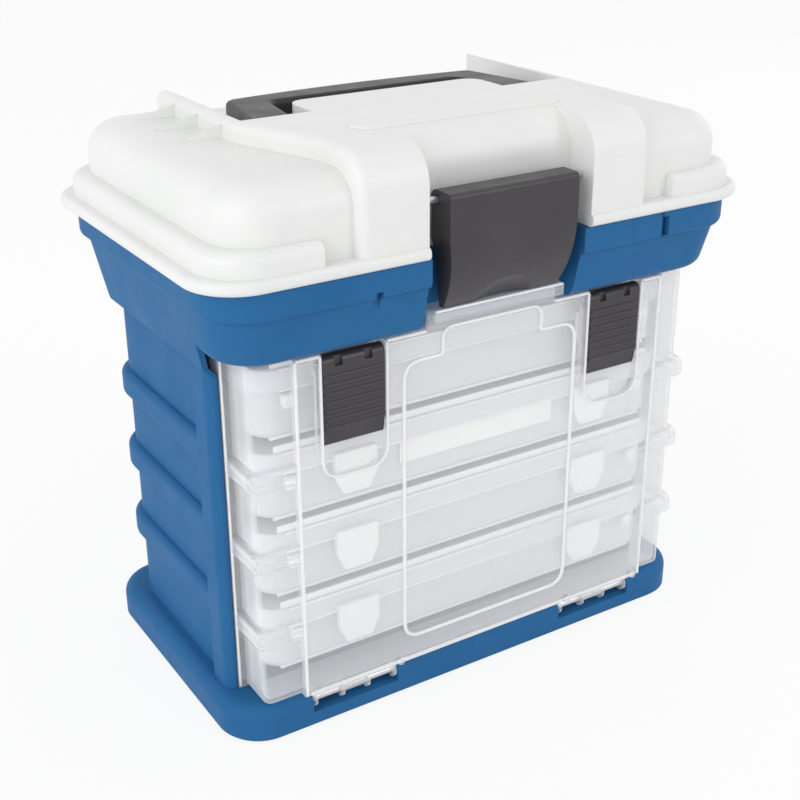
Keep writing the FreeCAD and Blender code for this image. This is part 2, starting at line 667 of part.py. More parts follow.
def latch_bay(grow):
    """Room in the front of the lid that the main latch turns in, with the rounded edge above it."""
    half = LATCH_BAY_W / 2 + grow
    r = LATCH_BAY_ROUND
    y, z = LATCH_BAY_Y + r, BODY_TOP - r
    corner = block(-half, half, LATCH_BAY_Y - 1, y, z, 300).cut([rod_x(-201, 201, y, z, r - grow)])
    return block(-half, half, -200, LATCH_BAY_Y + grow, 0, 300).fuse([corner])


def louvers():
    """Three stepped wedges between each ridge and the top of the dome."""
    shapes = []
    root = BODY_REAR_W / 2 - LOUVER_ROOT
    base = DOME_TOP - LOUVER_SUNK
    foot = base - LOUVER_DEEP
    for i in range(LOUVER_COUNT):
        y = LOUVER_Y + i * LOUVER_PITCH
        plan = [(root, y), (root + LOUVER_REACH, y + LOUVER_TIP), (root, y + LOUVER_LENGTH)]
        a, b, c = [V(px, py, base) for px, py in plan]
        d, e, f = [V(px, py, foot) for px, py in plan]
        top = V(root, y, base + LOUVER_RISE)
        faces = [Part.Face(Part.makePolygon(list(ring) + [ring[0]])) for ring in
                 ((d, f, e), (d, e, b, top), (b, c, top), (e, f, c, b), (f, d, top, c))]
        shapes += both_sides(Part.makeSolid(Part.makeShell(faces)))
    return shapes


def lid():
    """White moulded lid: rim bead, lower tier, dome, raised middle and its recesses."""
    bead, tier, dome, body = lid_outer()
    outer = bead.fuse([tier, dome, body] + louvers())
    t = LID_WALL
    d = DOME_W / 2 - t
    hollow = slab(-d, d, DOME_FRONT + t, DOME_BACK - t, DOME_CORNER - t, LID_Z - 1, DOME_TOP - t)
    hollow = hollow.makeFillet(DOME_EDGE - t, level_edges(hollow, DOME_TOP - t))
    half = BODY_W / 2 - t
    raised = block(-half, half, BODY_FRONT + t, HANDLE_PIVOT_Y, LID_Z - 1, BODY_TOP - t)
    raised = raised.cut([front_round().translated(V(0, t, -t))])
    hollow = hollow.fuse([raised])
    hollow = hollow.cut([handle_bay(t), latch_bay(t)])
    outer = outer.cut([hollow, handle_bay(0), latch_bay(0)])
    pad = slab(-PAD_W / 2, PAD_W / 2, PAD_Y - PAD_D / 2, PAD_Y + PAD_D / 2, PAD_D / 2 - 0.1, BODY_TOP - 0.5, BODY_TOP + PAD_H)
    pad = pad.makeFillet(PAD_EDGE, level_edges(pad, BODY_TOP + PAD_H))
    outer = outer.fuse([pad])
    knuckles = []
    for side in (-1, 1):
        x = side * LID_HINGE_X - LID_KNUCKLE_L / 2
        arm = block(x, x + LID_KNUCKLE_L, LID_BACK - LID_ARM_IN, LID_HINGE_Y, LID_Z + 0.8, LID_HINGE_Z + LID_KNUCKLE_R)
        barrel = rod_x(x, x + LID_KNUCKLE_L, LID_HINGE_Y, LID_HINGE_Z, LID_KNUCKLE_R)
        room = block(x - 1, x + LID_KNUCKLE_L + 1, 0, LIP_BACK + RUN_GAP, 0, LID_Z)
        knuckles.append(arm.fuse([barrel]).cut([room]))
    bosses = both_sides(rod_x(HANDLE_FRONT_OUTER + BOSS_GAP, HANDLE_BAY_W / 2 + 0.5, HANDLE_PIVOT_Y, PIVOT_Z, BOSS_R))
    outer = outer.fuse(knuckles + bosses)
    bores = [rod_x(side * LID_HINGE_X - LID_KNUCKLE_L, side * LID_HINGE_X + LID_KNUCKLE_L,
                   LID_HINGE_Y, LID_HINGE_Z, LID_PIN_R + PIN_GAP) for side in (-1, 1)]
    bores += [pin.copy() for pin in handle_pins()]
    bores += [latch_pin().copy()]
    sweep = rod_x(-LID_HINGE_X - 60, LID_HINGE_X + 60, LID_HINGE_Y, LID_HINGE_Z, LID_KNUCKLE_R + RUN_GAP)
    shadow = sweep.common(fuse([block(x - RUN_GAP, x + LID_KNUCKLE_L + RUN_GAP, 0, 200, 0, 300)
                                for x in hinge_knuckle_xs()]))
    return outer.cut(bores + [shadow]).removeSplitter()


def lid_hinge_pins():
    """Steel pins of the rear hinge."""
    reach = LID_KNUCKLE_L * 1.5 + RUN_GAP
    return [rod_x(side * LID_HINGE_X - reach, side * LID_HINGE_X + reach, LID_HINGE_Y, LID_HINGE_Z, LID_PIN_R)
            for side in (-1, 1)]


# ---------------------------------------------------------------- handle
def handle_half(z0, z1):
    """One half of the bail handle as a prism: the arm and half of the grip, whose rear edge is bowed."""
    inner_y = HANDLE_BACK - HANDLE_GRIP_D
    nose_y = HANDLE_PIVOT_Y - HANDLE_T / 2
    bow_r = (HANDLE_OUTER ** 2 + HANDLE_BOW ** 2) / (2 * HANDLE_BOW)
    centre = HANDLE_BACK + HANDLE_BOW - bow_r
    points = [V(x, y, z0) for x, y in (
        (0, HANDLE_BACK + HANDLE_BOW), (0, inner_y), (HANDLE_OUTER - HANDLE_ARM_W, inner_y),
        (HANDLE_FRONT_OUTER - HANDLE_FRONT_ARM_W, nose_y), (HANDLE_FRONT_OUTER, nose_y), (HANDLE_OUTER, HANDLE_BACK))]
    edges = [Part.LineSegment(a, b).toShape() for a, b in zip(points, points[1:])]
    middle = V(HANDLE_OUTER / 2, centre + math.sqrt(bow_r ** 2 - (HANDLE_OUTER / 2) ** 2), z0)
    edges.append(Part.Arc(points[-1], middle, points[0]).toShape())
    return Part.Face(Part.Wire(edges)).extrude(V(0, 0, z1 - z0))


def carry_handle():
    """Black bail handle that folds flat into the top of the lid."""
    z0, z1 = HANDLE_TOP - HANDLE_T, HANDLE_TOP
    half = handle_half(z0, z1)
    inner = edges_where(half, lambda x, y, z, e: is_upright(e) and near(x, HANDLE_OUTER - HANDLE_ARM_W))
    outer = edges_where(half, lambda x, y, z, e: is_upright(e) and near(x, HANDLE_OUTER))
    half = half.makeFillet(HANDLE_CORNER, inner + outer)
    whole = fuse(both_sides(half))
    nose = HANDLE_T / 2
    square = block(-200, 200, HANDLE_PIVOT_Y - nose - 1, HANDLE_PIVOT_Y, z0 - 1, z1 + 1)
    square = square.cut([rod_x(-201, 201, HANDLE_PIVOT_Y, PIVOT_Z, nose)])
    whole = whole.cut([square])
    long_edges = [e for e in level_edges(whole, z1) if e.BoundBox.YMin > HANDLE_PIVOT_Y + 1]
    whole = whole.makeFillet(HANDLE_EDGE, long_edges)
    bores = [rod_x(p.BoundBox.XMin - 1, p.BoundBox.XMax + 1, HANDLE_PIVOT_Y, PIVOT_Z, HANDLE_PIN_R + PIN_GAP)
             for p in handle_pins()]
    return whole.cut(bores)


def handle_pins():
    """Two pins that the handle's arms turn on, set in the ridges of the lid."""
    inner = HANDLE_FRONT_OUTER - HANDLE_FRONT_ARM_W + HANDLE_PIN_IN
    outer = BODY_REAR_W / 2 - HANDLE_PIN_WALL
    return both_sides(rod_x(inner, outer, HANDLE_PIVOT_Y, PIVOT_Z, HANDLE_PIN_R))


# ---------------------------------------------------------------- main latch
def latch_face(shift, z0):
    """Front line of the main latch in (y, z), from the top down, moved back by shift."""
    points = []
    bend = LATCH_TOP - LATCH_BEND
    steps = 8
    for i in range(steps + 1):
        s = i / steps
        z = bend + (z0 - bend) * s
        points.append((LATCH_FRONT + shift + LATCH_FOOT_BACK * s * s, z))
    return points


def main_latch():
    """Graphite draw latch that hangs from the lid and closes it on the tub."""
    half_top, half_foot = LATCH_W / 2, LATCH_FOOT_W / 2
    head = block(-half_top, half_top, LATCH_FRONT, LATCH_BACK, LATCH_TOP - LATCH_HEAD_H, LATCH_TOP)
    back = edges_where(head, lambda x, y, z, e: near(y, LATCH_BACK) and near(z, LATCH_TOP))
    low = edges_where(head, lambda x, y, z, e: near(y, LATCH_BACK) and near(z, LATCH_TOP - LATCH_HEAD_H))
    head = head.makeFillet(LATCH_BACK_EDGE, back + low)
    face = latch_face(0, LATCH_FOOT_Z)
    rear = [(y + LATCH_T, z) for y, z in reversed(face)]
    top = LATCH_TOP - LATCH_HEAD_H / 2
    plate = profile_x([(LATCH_FRONT, top)] + face + rear + [(LATCH_FRONT + LATCH_T, top)], -half_top, half_top)
    cheek_rear = [(LATCH_FRONT + LATCH_FOOT_BACK + LATCH_T, LATCH_FOOT_Z), (LATCH_BACK - LATCH_T, TUB_RIM_Z - CHEEK_DROP),
                  (LATCH_BACK - SEAT_IN, TUB_RIM_Z + CHEEK_DROP), (LATCH_BACK - SEAT_IN, top)]
    cheek = profile_x([(LATCH_FRONT, top)] + face + cheek_rear, 0, LATCH_T)
    sides = [cheek.translated(V(half_top - LATCH_T, 0, 0)), cheek.translated(V(-half_top, 0, 0))]
    trim = Part.Face(Part.makePolygon([V(x, -200, z) for x, z in (
        (-half_foot, LATCH_FOOT_Z), (half_foot, LATCH_FOOT_Z), (half_top, LATCH_TOP - LATCH_HEAD_H * 2),
        (half_top, LATCH_TOP), (-half_top, LATCH_TOP), (-half_top, LATCH_TOP - LATCH_HEAD_H * 2),
        (-half_foot, LATCH_FOOT_Z))])).extrude(V(0, 400, 0))
    body = head.fuse([plate] + sides).common(trim)
    foot_y = LATCH_FRONT + LATCH_FOOT_BACK
    tooth = block(-LATCH_TOOTH_W / 2, LATCH_TOOTH_W / 2, foot_y + LATCH_T / 2, LATCH_BAY_Y - LATCH_TOOTH_GAP,
                  LATCH_FOOT_Z + LATCH_TOOTH_UP, LATCH_FOOT_Z + LATCH_TOOTH_UP + LATCH_TOOTH_H)
    body = body.fuse([tooth]).removeSplitter()
    ball_r = ((THUMB_W / 2) ** 2 + THUMB_DEEP ** 2) / (2 * THUMB_DEEP)
    lean = math.atan(2 * LATCH_FOOT_BACK / (LATCH_TOP - LATCH_BEND - LATCH_FOOT_Z))
    reach = ball_r - THUMB_DEEP
    ball = Part.makeSphere(ball_r, V(0, foot_y - reach * math.cos(lean), LATCH_FOOT_Z + THUMB_UP - reach * math.sin(lean)))
    body = body.cut([ball])
    front_top = edges_where(body, lambda x, y, z, e: near(y, LATCH_FRONT) and near(z, LATCH_TOP) and e.Length > 20)
    body = body.makeFillet(LATCH_EDGE, front_top)
    return body.cut([rod_x(-60, 60, LATCH_AXIS_Y, LATCH_AXIS_Z, LATCH_PIN_R + PIN_GAP)])


def latch_pin():
    """Steel pin that the main latch turns on, set in both walls of its bay."""
    half = LATCH_BAY_W / 2 + LID_WALL - SEAT_IN
    return rod_x(-half, half, LATCH_AXIS_Y, LATCH_AXIS_Z, LATCH_PIN_R)


# ---------------------------------------------------------------- door
def front_slab(x0, x1, z0, z1, r, y0, y1):
    """Plate that faces the front, with rounded corners in the XZ plane."""
    plate = slab(x0, x1, z0, z1, r, -y1, -y0)
    plate.rotate(V(0, 0, 0), V(1, 0, 0), 90)
    return plate


def door_bulk(inset):
    """Bulge of the door as a solid, with its skin moved inwards by inset."""
    z0, z1 = DOOR_BOTTOM_Z + inset, DOOR_TOP_Z - inset
    w = DOOR_BULGE_W / 2 - inset
    back = DOOR_FRAME_BACK + 20
    wing = slab(-w, w, DOOR_WING_Y + inset, back, DOOR_BULGE_CORNER - inset, z0, z1)
    middle = block(-DOOR_STEP_X + inset, DOOR_STEP_X - inset, DOOR_FRONT_Y + inset, DOOR_WING_Y + inset + 3, z0, z1)
    rounding = DOOR_FOOT_ROUND - inset
    wing = wing.makeFillet(rounding, level_edges(wing, z0))
    middle = middle.makeFillet(rounding, [e for e in level_edges(middle, z0)
                                          if near(e.BoundBox.YMax, DOOR_FRONT_Y + inset)])
    beads = []
    for level in range(2, BOX_COUNT + 1):
        z = rim_mid_z(level) - RIB_RISE
        half = DOOR_BEAD_H / 2 - inset
        proud = DOOR_BEAD_PROUD
        bead = slab(-w - proud, w + proud, DOOR_FRONT_Y + DOOR_BEAD_BACK + inset, back, DOOR_BULGE_CORNER + 1 - inset,
                    z - half, z + half)
        soft = min(DOOR_BEAD_ROUND, half - SEAT_IN)
        beads.append(bead.makeFillet(soft, level_edges(bead, z - half) + level_edges(bead, z + half)))
    if inset:
        return wing.fuse([middle] + beads).common(block(-200, 200, -200, DOOR_FRAME_BACK + 1, 0, 300))
    beads = [bead.common(block(-200, 200, -200, DOOR_FRAME_Y, 0, 300)) for bead in beads]
    return wing.fuse([middle]).common(block(-200, 200, -200, DOOR_FRAME_Y + DOOR_T / 2, 0, 300)).fuse(beads)


def door_catch_pocket(side, grow):
    """Recess in the door for one door latch, with its finger room, moved outwards by grow."""
    half = CATCH_W / 2 + RUN_GAP + grow
    x = side * CATCH_X
    back = CATCH_AXIS_Y + CATCH_BARREL_R + RUN_GAP + grow
    low = CATCH_AXIS_Z - CATCH_BARREL_R - RUN_GAP - grow
    plate_back = CATCH_AXIS_Y - CATCH_BARREL_R + CATCH_T + RUN_GAP + grow
    room = front_slab(x - half, x + half, CATCH_FOOT_Z - CATCH_ROOM_H - grow, DOOR_TOP_Z + 30, CATCH_ROOM_CORNER + grow,
                      -90, plate_back)
    return room.fuse([block(x - half, x + half, -90, back, low, DOOR_TOP_Z + 10)])


def door_hinge(side):
    """Four bored plates and the web of one door hinge."""
    spans = hinge_plate_spans(side)
    shapes = []
    for x0, x1 in spans:
        eye = rod_x(x0, x1, HINGE_Y, HINGE_Z, HINGE_EYE_R)
        neck = block(x0, x1, HINGE_FRONT_Y, HINGE_Y + HINGE_EYE_R, HINGE_Z, DOOR_BOTTOM_Z + 0.5)
        shapes += [eye, neck]
    low, high = sorted((spans[1], spans[2]))
    shapes.append(block(low[1] - 0.2, high[0] + 0.2, HINGE_FRONT_Y, HINGE_FRONT_Y + HINGE_WEB_T,
                        HINGE_Z - 0.5, DOOR_BOTTOM_Z + 0.5))
    for x0, x1 in (spans[0], spans[3]):
        mid = (x0 + x1) / 2
        nub = Part.makeCylinder(DOOR_NUB_R, DOOR_NUB_L, V(mid, DOOR_FRONT_Y + 1.0, DOOR_BOTTOM_Z + DOOR_NUB_UP), V(0, -1, 0.35))
        shapes.append(nub)
    return shapes


def door():
    """Clear moulded door: a framed bulge with beads, hinge plates and a raised middle panel."""
    w = DOOR_W / 2
    t = DOOR_T
    outer = door_bulk(0)
    frame_top = DOOR_TOP_Z - DOOR_FRAME_DROP
    frame = block(-w, w, DOOR_FRAME_Y, DOOR_FRAME_BACK, DOOR_BOTTOM_Z, frame_top)
    hollow = door_bulk(t)
    window = block(-w + t, w - t, DOOR_FRAME_Y + t, 0, DOOR_BOTTOM_Z + t, frame_top - t)
    sill = block(-DOOR_BULGE_W / 2 + t, DOOR_BULGE_W / 2 - t, DOOR_SILL_Y, 0, 0, DOOR_BOTTOM_Z + t + 1)
    pockets = [door_catch_pocket(side, CATCH_WALL).common(
        block(-200, 200, DOOR_FRONT_Y, 0, 0, DOOR_TOP_Z)) for side in (-1, 1)]
    body = outer.fuse([frame]).cut([hollow, window, sill]).fuse(pockets)
    body = body.cut([door_catch_pocket(side, 0) for side in (-1, 1)])
    half = DOOR_TAB_W / 2
    shelf = DOOR_FRONT_Y + DOOR_TAB_BACK
    tab = profile_x([(DOOR_FRONT_Y, DOOR_TOP_Z - t), (DOOR_FRONT_Y, DOOR_TAB_Z - t), (DOOR_TAB_Y + t, DOOR_TAB_Z - t),
                     (DOOR_TAB_Y + t, DOOR_TAB_Z - DOOR_TAB_LIP), (DOOR_TAB_Y, DOOR_TAB_Z - DOOR_TAB_LIP),
                     (DOOR_TAB_Y, DOOR_TAB_Z), (shelf, DOOR_TAB_Z), (shelf, DOOR_TAB_Z - t),
                     (DOOR_FRONT_Y + t, DOOR_TAB_Z - t), (DOOR_FRONT_Y + t, DOOR_TOP_Z - t)], -half, half)
    extras = [tab]
    for side in (-1, 1):
        extras += door_hinge(side)
        for edge in (-1, 1):
            inner = CATCH_W / 2 + RUN_GAP
            x0 = side * CATCH_X + (inner if edge > 0 else -inner - CATCH_EAR_T)
            extras.append(rod_x(x0, x0 + CATCH_EAR_T, CATCH_AXIS_Y, CATCH_AXIS_Z, CATCH_EAR_R))
    body = body.fuse(extras)
    body = body.fuse([panel_ridge()])
    bores = []
    for side in (-1, 1):
        x0, x1 = pocket_span(side)
        bores.append(rod_x(x0, x1, HINGE_Y, HINGE_Z, HINGE_PIN_R + PIN_GAP))
    return body.cut(bores + catch_pins()).removeSplitter()


def panel_ridge():
    """Raised outline of the middle panel on the door's front."""
    line = PANEL_LINE
    x, arch_x = PANEL_W / 2, ARCH_W / 2
    z0, z1, top = DOOR_BOTTOM_Z + PANEL_FOOT, DOOR_TOP_Z - PANEL_DROP, DOOR_TOP_Z + ARCH_RISE
    y0, y1 = DOOR_FRONT_Y - PANEL_PROUD, DOOR_FRONT_Y + SEAT_IN
    outline = front_slab(-x, x, z0, z1, PANEL_CORNER, y0, y1)
    hole = front_slab(-x + line, x - line, z0 + line, z1 - line, PANEL_CORNER - line, y0 - 1, y1 + 1)
    arch = front_slab(-arch_x, arch_x, z1 - 20, top, ARCH_CORNER, y0, y1)
    arch_hole = front_slab(-arch_x + line, arch_x - line, z1 - 30, top - line, ARCH_CORNER - line, y0 - 1, y1 + 1)
    return outline.fuse([arch]).cut([hole, arch_hole])


# ---------------------------------------------------------------- door latches
def door_latch(side):
    """Ridged graphite latch at the top of the door."""
    x0, x1 = side * CATCH_X - CATCH_W / 2, side * CATCH_X + CATCH_W / 2
    face = CATCH_AXIS_Y - CATCH_BARREL_R
    barrel = rod_x(x0, x1, CATCH_AXIS_Y, CATCH_AXIS_Z, CATCH_BARREL_R)
    lip = CATCH_LIP
    plate = profile_x([(face, CATCH_AXIS_Z), (face, CATCH_FOOT_Z + 8), (face + lip / 2, CATCH_FOOT_Z + 5),
                       (face + lip, CATCH_FOOT_Z), (face + lip + CATCH_T / 2, CATCH_FOOT_Z),
                       (face + CATCH_T, CATCH_FOOT_Z + 7), (face + CATCH_T, CATCH_AXIS_Z)], x0, x1)
    ridges = []
    for i in range(CATCH_RIDGES):
        z = CATCH_AXIS_Z - CATCH_BARREL_R - CATCH_RIDGE_DROP - i * CATCH_RIDGE_PITCH
        ridges.append(rod_x(x0 + CATCH_RIDGE_IN, x1 - CATCH_RIDGE_IN, face + 0.15, z, CATCH_RIDGE_R))
    body = barrel.fuse([plate] + ridges)
    windows = []
    for offset in (-CATCH_W * 0.24, CATCH_W * 0.24):
        x = side * CATCH_X + offset
        windows.append(block(x - CATCH_WINDOW_W / 2, x + CATCH_WINDOW_W / 2, face - 1, face + 1.3,
                             CATCH_AXIS_Z - 1.0, CATCH_AXIS_Z - 1.0 + CATCH_WINDOW_H))
    bore = rod_x(x0 - 1, x1 + 1, CATCH_AXIS_Y, CATCH_AXIS_Z, CATCH_PIN_R + PIN_GAP)
    return body.cut(windows + [bore])


def catch_pins():
    """Pins of both door latches, set in the ears of the door."""
    reach = CATCH_W / 2 + RUN_GAP + CATCH_EAR_T - SEAT_IN
    return [rod_x(side * CATCH_X - reach, side * CATCH_X + reach, CATCH_AXIS_Y, CATCH_AXIS_Z, CATCH_PIN_R)
            for side in (-1, 1)]


# ---------------------------------------------------------------- utility boxes
def box_tray(level):
    """Open tray of one utility box."""
    z = box_floor_z(level)
    w = BOX_W / 2 - BOX_RIM_STEP
    y0, y1 = BOX_FRONT + BOX_RIM_STEP, BOX_BACK - BOX_RIM_STEP
    r = BOX_CORNER - BOX_RIM_STEP
    top = z + BOX_H - BOX_LID_T
    outer = slab(-w, w, y0, y1, r, z, top)
    outer = outer.makeFillet(BOX_FOOT_EDGE, level_edges(outer, z))
    t = BOX_WALL
    inner = slab(-w + t, w - t, y0 + t, y1 - t, r - t, z + BOX_FLOOR, top + 1)
    return outer.cut([inner])


def box_lid(level):
    """Lid of one utility box, with a rim that laps over the tray."""
    z = box_floor_z(level)
    w = BOX_W / 2
    top = z + BOX_H
    outer = slab(-w, w, BOX_FRONT, BOX_BACK, BOX_CORNER, top - BOX_RIM_DROP - BOX_RIM_H, top)
    outer = outer.makeFillet(BOX_TOP_EDGE, level_edges(outer, top))
    t = BOX_WALL
    inner = slab(-w + t, w - t, BOX_FRONT + t, BOX_BACK - t, BOX_CORNER - t, z, top - BOX_LID_T)
    return outer.cut([inner])


def box_dividers(level):
    """Long and cross dividers of one utility box."""
    z = box_floor_z(level) + BOX_FLOOR
    w = BOX_W / 2 - BOX_RIM_STEP - BOX_WALL
    y0 = BOX_FRONT + BOX_RIM_STEP + BOX_WALL
    y1 = BOX_BACK - BOX_RIM_STEP - BOX_WALL
    row = (y1 - y0) / BOX_ROWS
    column = 2 * w / BOX_COLUMNS
    t = DIVIDER_T
    plates = [block(-w, w, y0 + i * row - t / 2, y0 + i * row + t / 2, z, z + DIVIDER_H)
              for i in range(1, BOX_ROWS)]
    for i in range(BOX_ROWS):
        low = y0 + i * row + (t / 2 if i else 0)
        high = y0 + (i + 1) * row - (t / 2 if i < BOX_ROWS - 1 else 0)
        for j in range(1, BOX_COLUMNS):
            if i and j % 2:
                continue
            x = -w + j * column
            plates.append(block(x - t / 2, x + t / 2, low, high, z, z + DIVIDER_H - DIVIDER_STEP))
    return plates


def box_latches(level):
    """Two shield-shaped front latches of one utility box."""
    z0 = box_floor_z(level) + BOX_LATCH_Z
    z1 = z0 + BOX_LATCH_H
    front = BOX_FRONT - SEAT_GAP - BOX_LATCH_T
    shapes = []
    for side in (-1, 1):
        x = side * BOX_LATCH_X
        half = BOX_LATCH_W / 2
        plan = [V(x - half, front, z1), V(x + half, front, z1), V(x + half, front, z0 + BOX_LATCH_TAPER_H),
                V(x + BOX_LATCH_FOOT_W / 2, front, z0), V(x - BOX_LATCH_FOOT_W / 2, front, z0), V(x - half, front, z0 + BOX_LATCH_TAPER_H)]
        plate = Part.Face(Part.makePolygon(plan + plan[:1])).extrude(V(0, BOX_LATCH_T, 0))
        foot = block(x - BOX_LATCH_ROOT_W / 2, x + BOX_LATCH_ROOT_W / 2, front + BOX_LATCH_T / 2,
                     BOX_FRONT + BOX_RIM_STEP, z0 + BOX_LATCH_ROOT_Z[0], z0 + BOX_LATCH_ROOT_Z[1])
        shapes.append(plate.fuse([foot]).removeSplitter())
    return shapes


def box_hinge_pin(level):
    """Rear hinge pin of one utility box, between the tray and the lid's rim."""
    z = rim_mid_z(level)
    y = BOX_BACK - (BOX_RIM_STEP + BOX_WALL) / 2
    half = BOX_W / 2 - BOX_CORNER
    return rod_x(-half, half, y, z, BOX_PIN_R)


# ---------------------------------------------------------------- write every node
def main():
    """Build and write the whole cabinet."""
    os.makedirs("parts", exist_ok=True)
    base, base_pins = plinth()
    save("base_plinth", [base])
    save("door_hinge_pins", base_pins)
    left, right, back = housing_panels()
    save("side_panel_left", [left])
    save("side_panel_right", [right])
    save("back_panel", [back])
    save("top_tub", [top_tub()])
    save("lid", [lid()])
    save("lid_hinge_pins", lid_hinge_pins())
    save("carry_handle", [carry_handle()])
    save("handle_pivot_pins", handle_pins())
    save("main_latch", [main_latch()])
    save("main_latch_pin", [latch_pin()])
    save("door", [door()])
    save("door_latch_left", [door_latch(-1)])
    save("door_latch_right", [door_latch(1)])
    save("door_latch_pins", catch_pins())
    for level in range(1, BOX_COUNT + 1):
        save("box_%d_tray" % level, [box_tray(level)])
        save("box_%d_lid" % level, [box_lid(level)])
        save("box_%d_dividers" % level, box_dividers(level))
        save("box_%d_latches" % level, box_latches(level))
        save("box_%d_hinge_pin" % level, [box_hinge_pin(level)])


main()
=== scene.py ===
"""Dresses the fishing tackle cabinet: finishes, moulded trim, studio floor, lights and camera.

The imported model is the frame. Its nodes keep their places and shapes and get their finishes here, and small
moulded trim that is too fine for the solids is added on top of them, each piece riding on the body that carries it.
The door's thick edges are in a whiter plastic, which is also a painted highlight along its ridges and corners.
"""

import logging
import math
from dataclasses import dataclass, field
from enum import Enum

import bmesh
import bpy
from mathutils import Matrix, Vector


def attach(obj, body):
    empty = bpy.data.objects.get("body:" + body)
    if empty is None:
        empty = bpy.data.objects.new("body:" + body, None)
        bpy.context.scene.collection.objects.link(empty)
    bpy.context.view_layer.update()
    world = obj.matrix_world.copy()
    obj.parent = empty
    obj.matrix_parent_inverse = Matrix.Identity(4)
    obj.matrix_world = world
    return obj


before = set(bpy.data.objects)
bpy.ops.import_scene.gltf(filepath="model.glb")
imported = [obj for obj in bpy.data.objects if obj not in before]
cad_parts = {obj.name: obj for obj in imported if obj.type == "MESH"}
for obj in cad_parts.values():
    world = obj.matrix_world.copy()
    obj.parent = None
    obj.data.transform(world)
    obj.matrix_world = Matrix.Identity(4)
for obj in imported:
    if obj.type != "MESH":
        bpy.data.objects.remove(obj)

LOG = logging.getLogger("tackle_cabinet")
MM = 0.001


class Body(Enum):
    """Rigid bodies that trim rides on, besides the boxes, which are named by their level."""

    DOOR = "door"


class Slot(Enum):
    """Names of the record's finishes; nothing in this script gives them to the added trim."""

    CLEAR = "clear"
    BOX = "box"
    LATCH = "latch"


class Side(Enum):
    """Left and right of the cabinet, seen from the front."""

    LEFT = -1
    RIGHT = 1


# ---------------------------------------------------------------- shading
class ShaderGraph:
    """A material's node tree, with one method for each kind of node the finishes use."""

    def __init__(self, name: str) -> None:
        """Starts an empty material.

        Args:
            name: the material's name.
        """
        self.material = bpy.data.materials.new(name)
        self.material.use_nodes = True
        self.tree = self.material.node_tree
        self.tree.nodes.clear()
        self.output = self.tree.nodes.new("ShaderNodeOutputMaterial")

    def node(self, kind: str, **values: object) -> bpy.types.Node:
        """Adds a node.

        Args:
            kind: the node's type name.
            values: input sockets by name, with spaces as underscores, or node properties.

        Returns:
            The new node.
        """
        made = self.tree.nodes.new(kind)
        for key, value in values.items():
            socket = made.inputs.get(key.replace("_", " "))
            if socket is None:
                setattr(made, key, value)
            elif isinstance(value, bpy.types.NodeSocket):
                self.tree.links.new(value, socket)
            else:
                socket.default_value = value
        return made

    def link(self, source: bpy.types.NodeSocket, target: bpy.types.NodeSocket) -> None:
        """Joins two sockets."""
        self.tree.links.new(source, target)

    def place(self) -> bpy.types.NodeSocket:
        """Gives the Object coordinates."""
        return self.node("ShaderNodeTexCoord").outputs["Object"]

    def noise(self, scale: float, detail: float = 3.0, roughness: float = 0.55) -> bpy.types.NodeSocket:
        """Gives a noise value on Object coordinates.

        Args:
            scale: cells per metre.
            detail: octaves.
            roughness: weight of the finer octaves.

        Returns:
            The noise's value socket.
        """
        made = self.node("ShaderNodeTexNoise", Vector=self.place(), Scale=scale, Detail=detail, Roughness=roughness)
        return made.outputs["Fac"]

    def spread(self, value: bpy.types.NodeSocket, low: float, high: float,
               from_low: float = 0.3, from_high: float = 0.7) -> bpy.types.NodeSocket:
        """Maps a value to a new range.

        Args:
            value: the value to map.
            low: result at from_low.
            high: result at from_high.
            from_low: start of the source range.
            from_high: end of the source range.

        Returns:
            The mapped value's socket.
        """
        made = self.node("ShaderNodeMapRange", Value=value)
        made.inputs["From Min"].default_value = from_low
        made.inputs["From Max"].default_value = from_high
        made.inputs["To Min"].default_value = low
        made.inputs["To Max"].default_value = high
        return made.outputs["Result"]

    def mix(self, factor: bpy.types.NodeSocket, first: tuple[float, ...],
            second: tuple[float, ...]) -> bpy.types.NodeSocket:
        """Blends two colours.

        Args:
            factor: how much of the second colour.
            first: colour at 0.
            second: colour at 1.

        Returns:
            The blended colour's socket.
        """
        made = self.node("ShaderNodeMix", data_type="RGBA")
        self.link(factor, made.inputs[0])
        made.inputs[6].default_value = (*first[:3], 1.0)
        made.inputs[7].default_value = (*second[:3], 1.0)
        return made.outputs[2]

    def bump(self, height: bpy.types.NodeSocket, strength: float, depth: float,
             normal: bpy.types.NodeSocket | None = None) -> bpy.types.NodeSocket:
        """Turns a height into a normal.

        Args:
            height: the height's socket.
            strength: weight of the bump.
            depth: height of the relief in metres.
            normal: a normal to start from.

        Returns:
            The bumped normal's socket.
        """
        made = self.node("ShaderNodeBump", Height=height, Strength=strength, Distance=depth)
        if normal is not None:
            self.link(normal, made.inputs["Normal"])
        return made.outputs["Normal"]

    def soft_edges(self, radius: float) -> bpy.types.NodeSocket:
        """Gives a normal that rounds every edge a little.

        Args:
            radius: the rounding in metres.

        Returns:
            The rounded normal's socket.
        """
        return self.node("ShaderNodeBevel", samples=4, Radius=radius).outputs["Normal"]

    def finish(self, shader: bpy.types.NodeSocket) -> bpy.types.Material:
        """Puts the shader on the output and gives the material.

        Args:
            shader: the finished shader's socket.

        Returns:
            The material.
        """
        self.link(shader, self.output.inputs["Surface"])
        return self.material


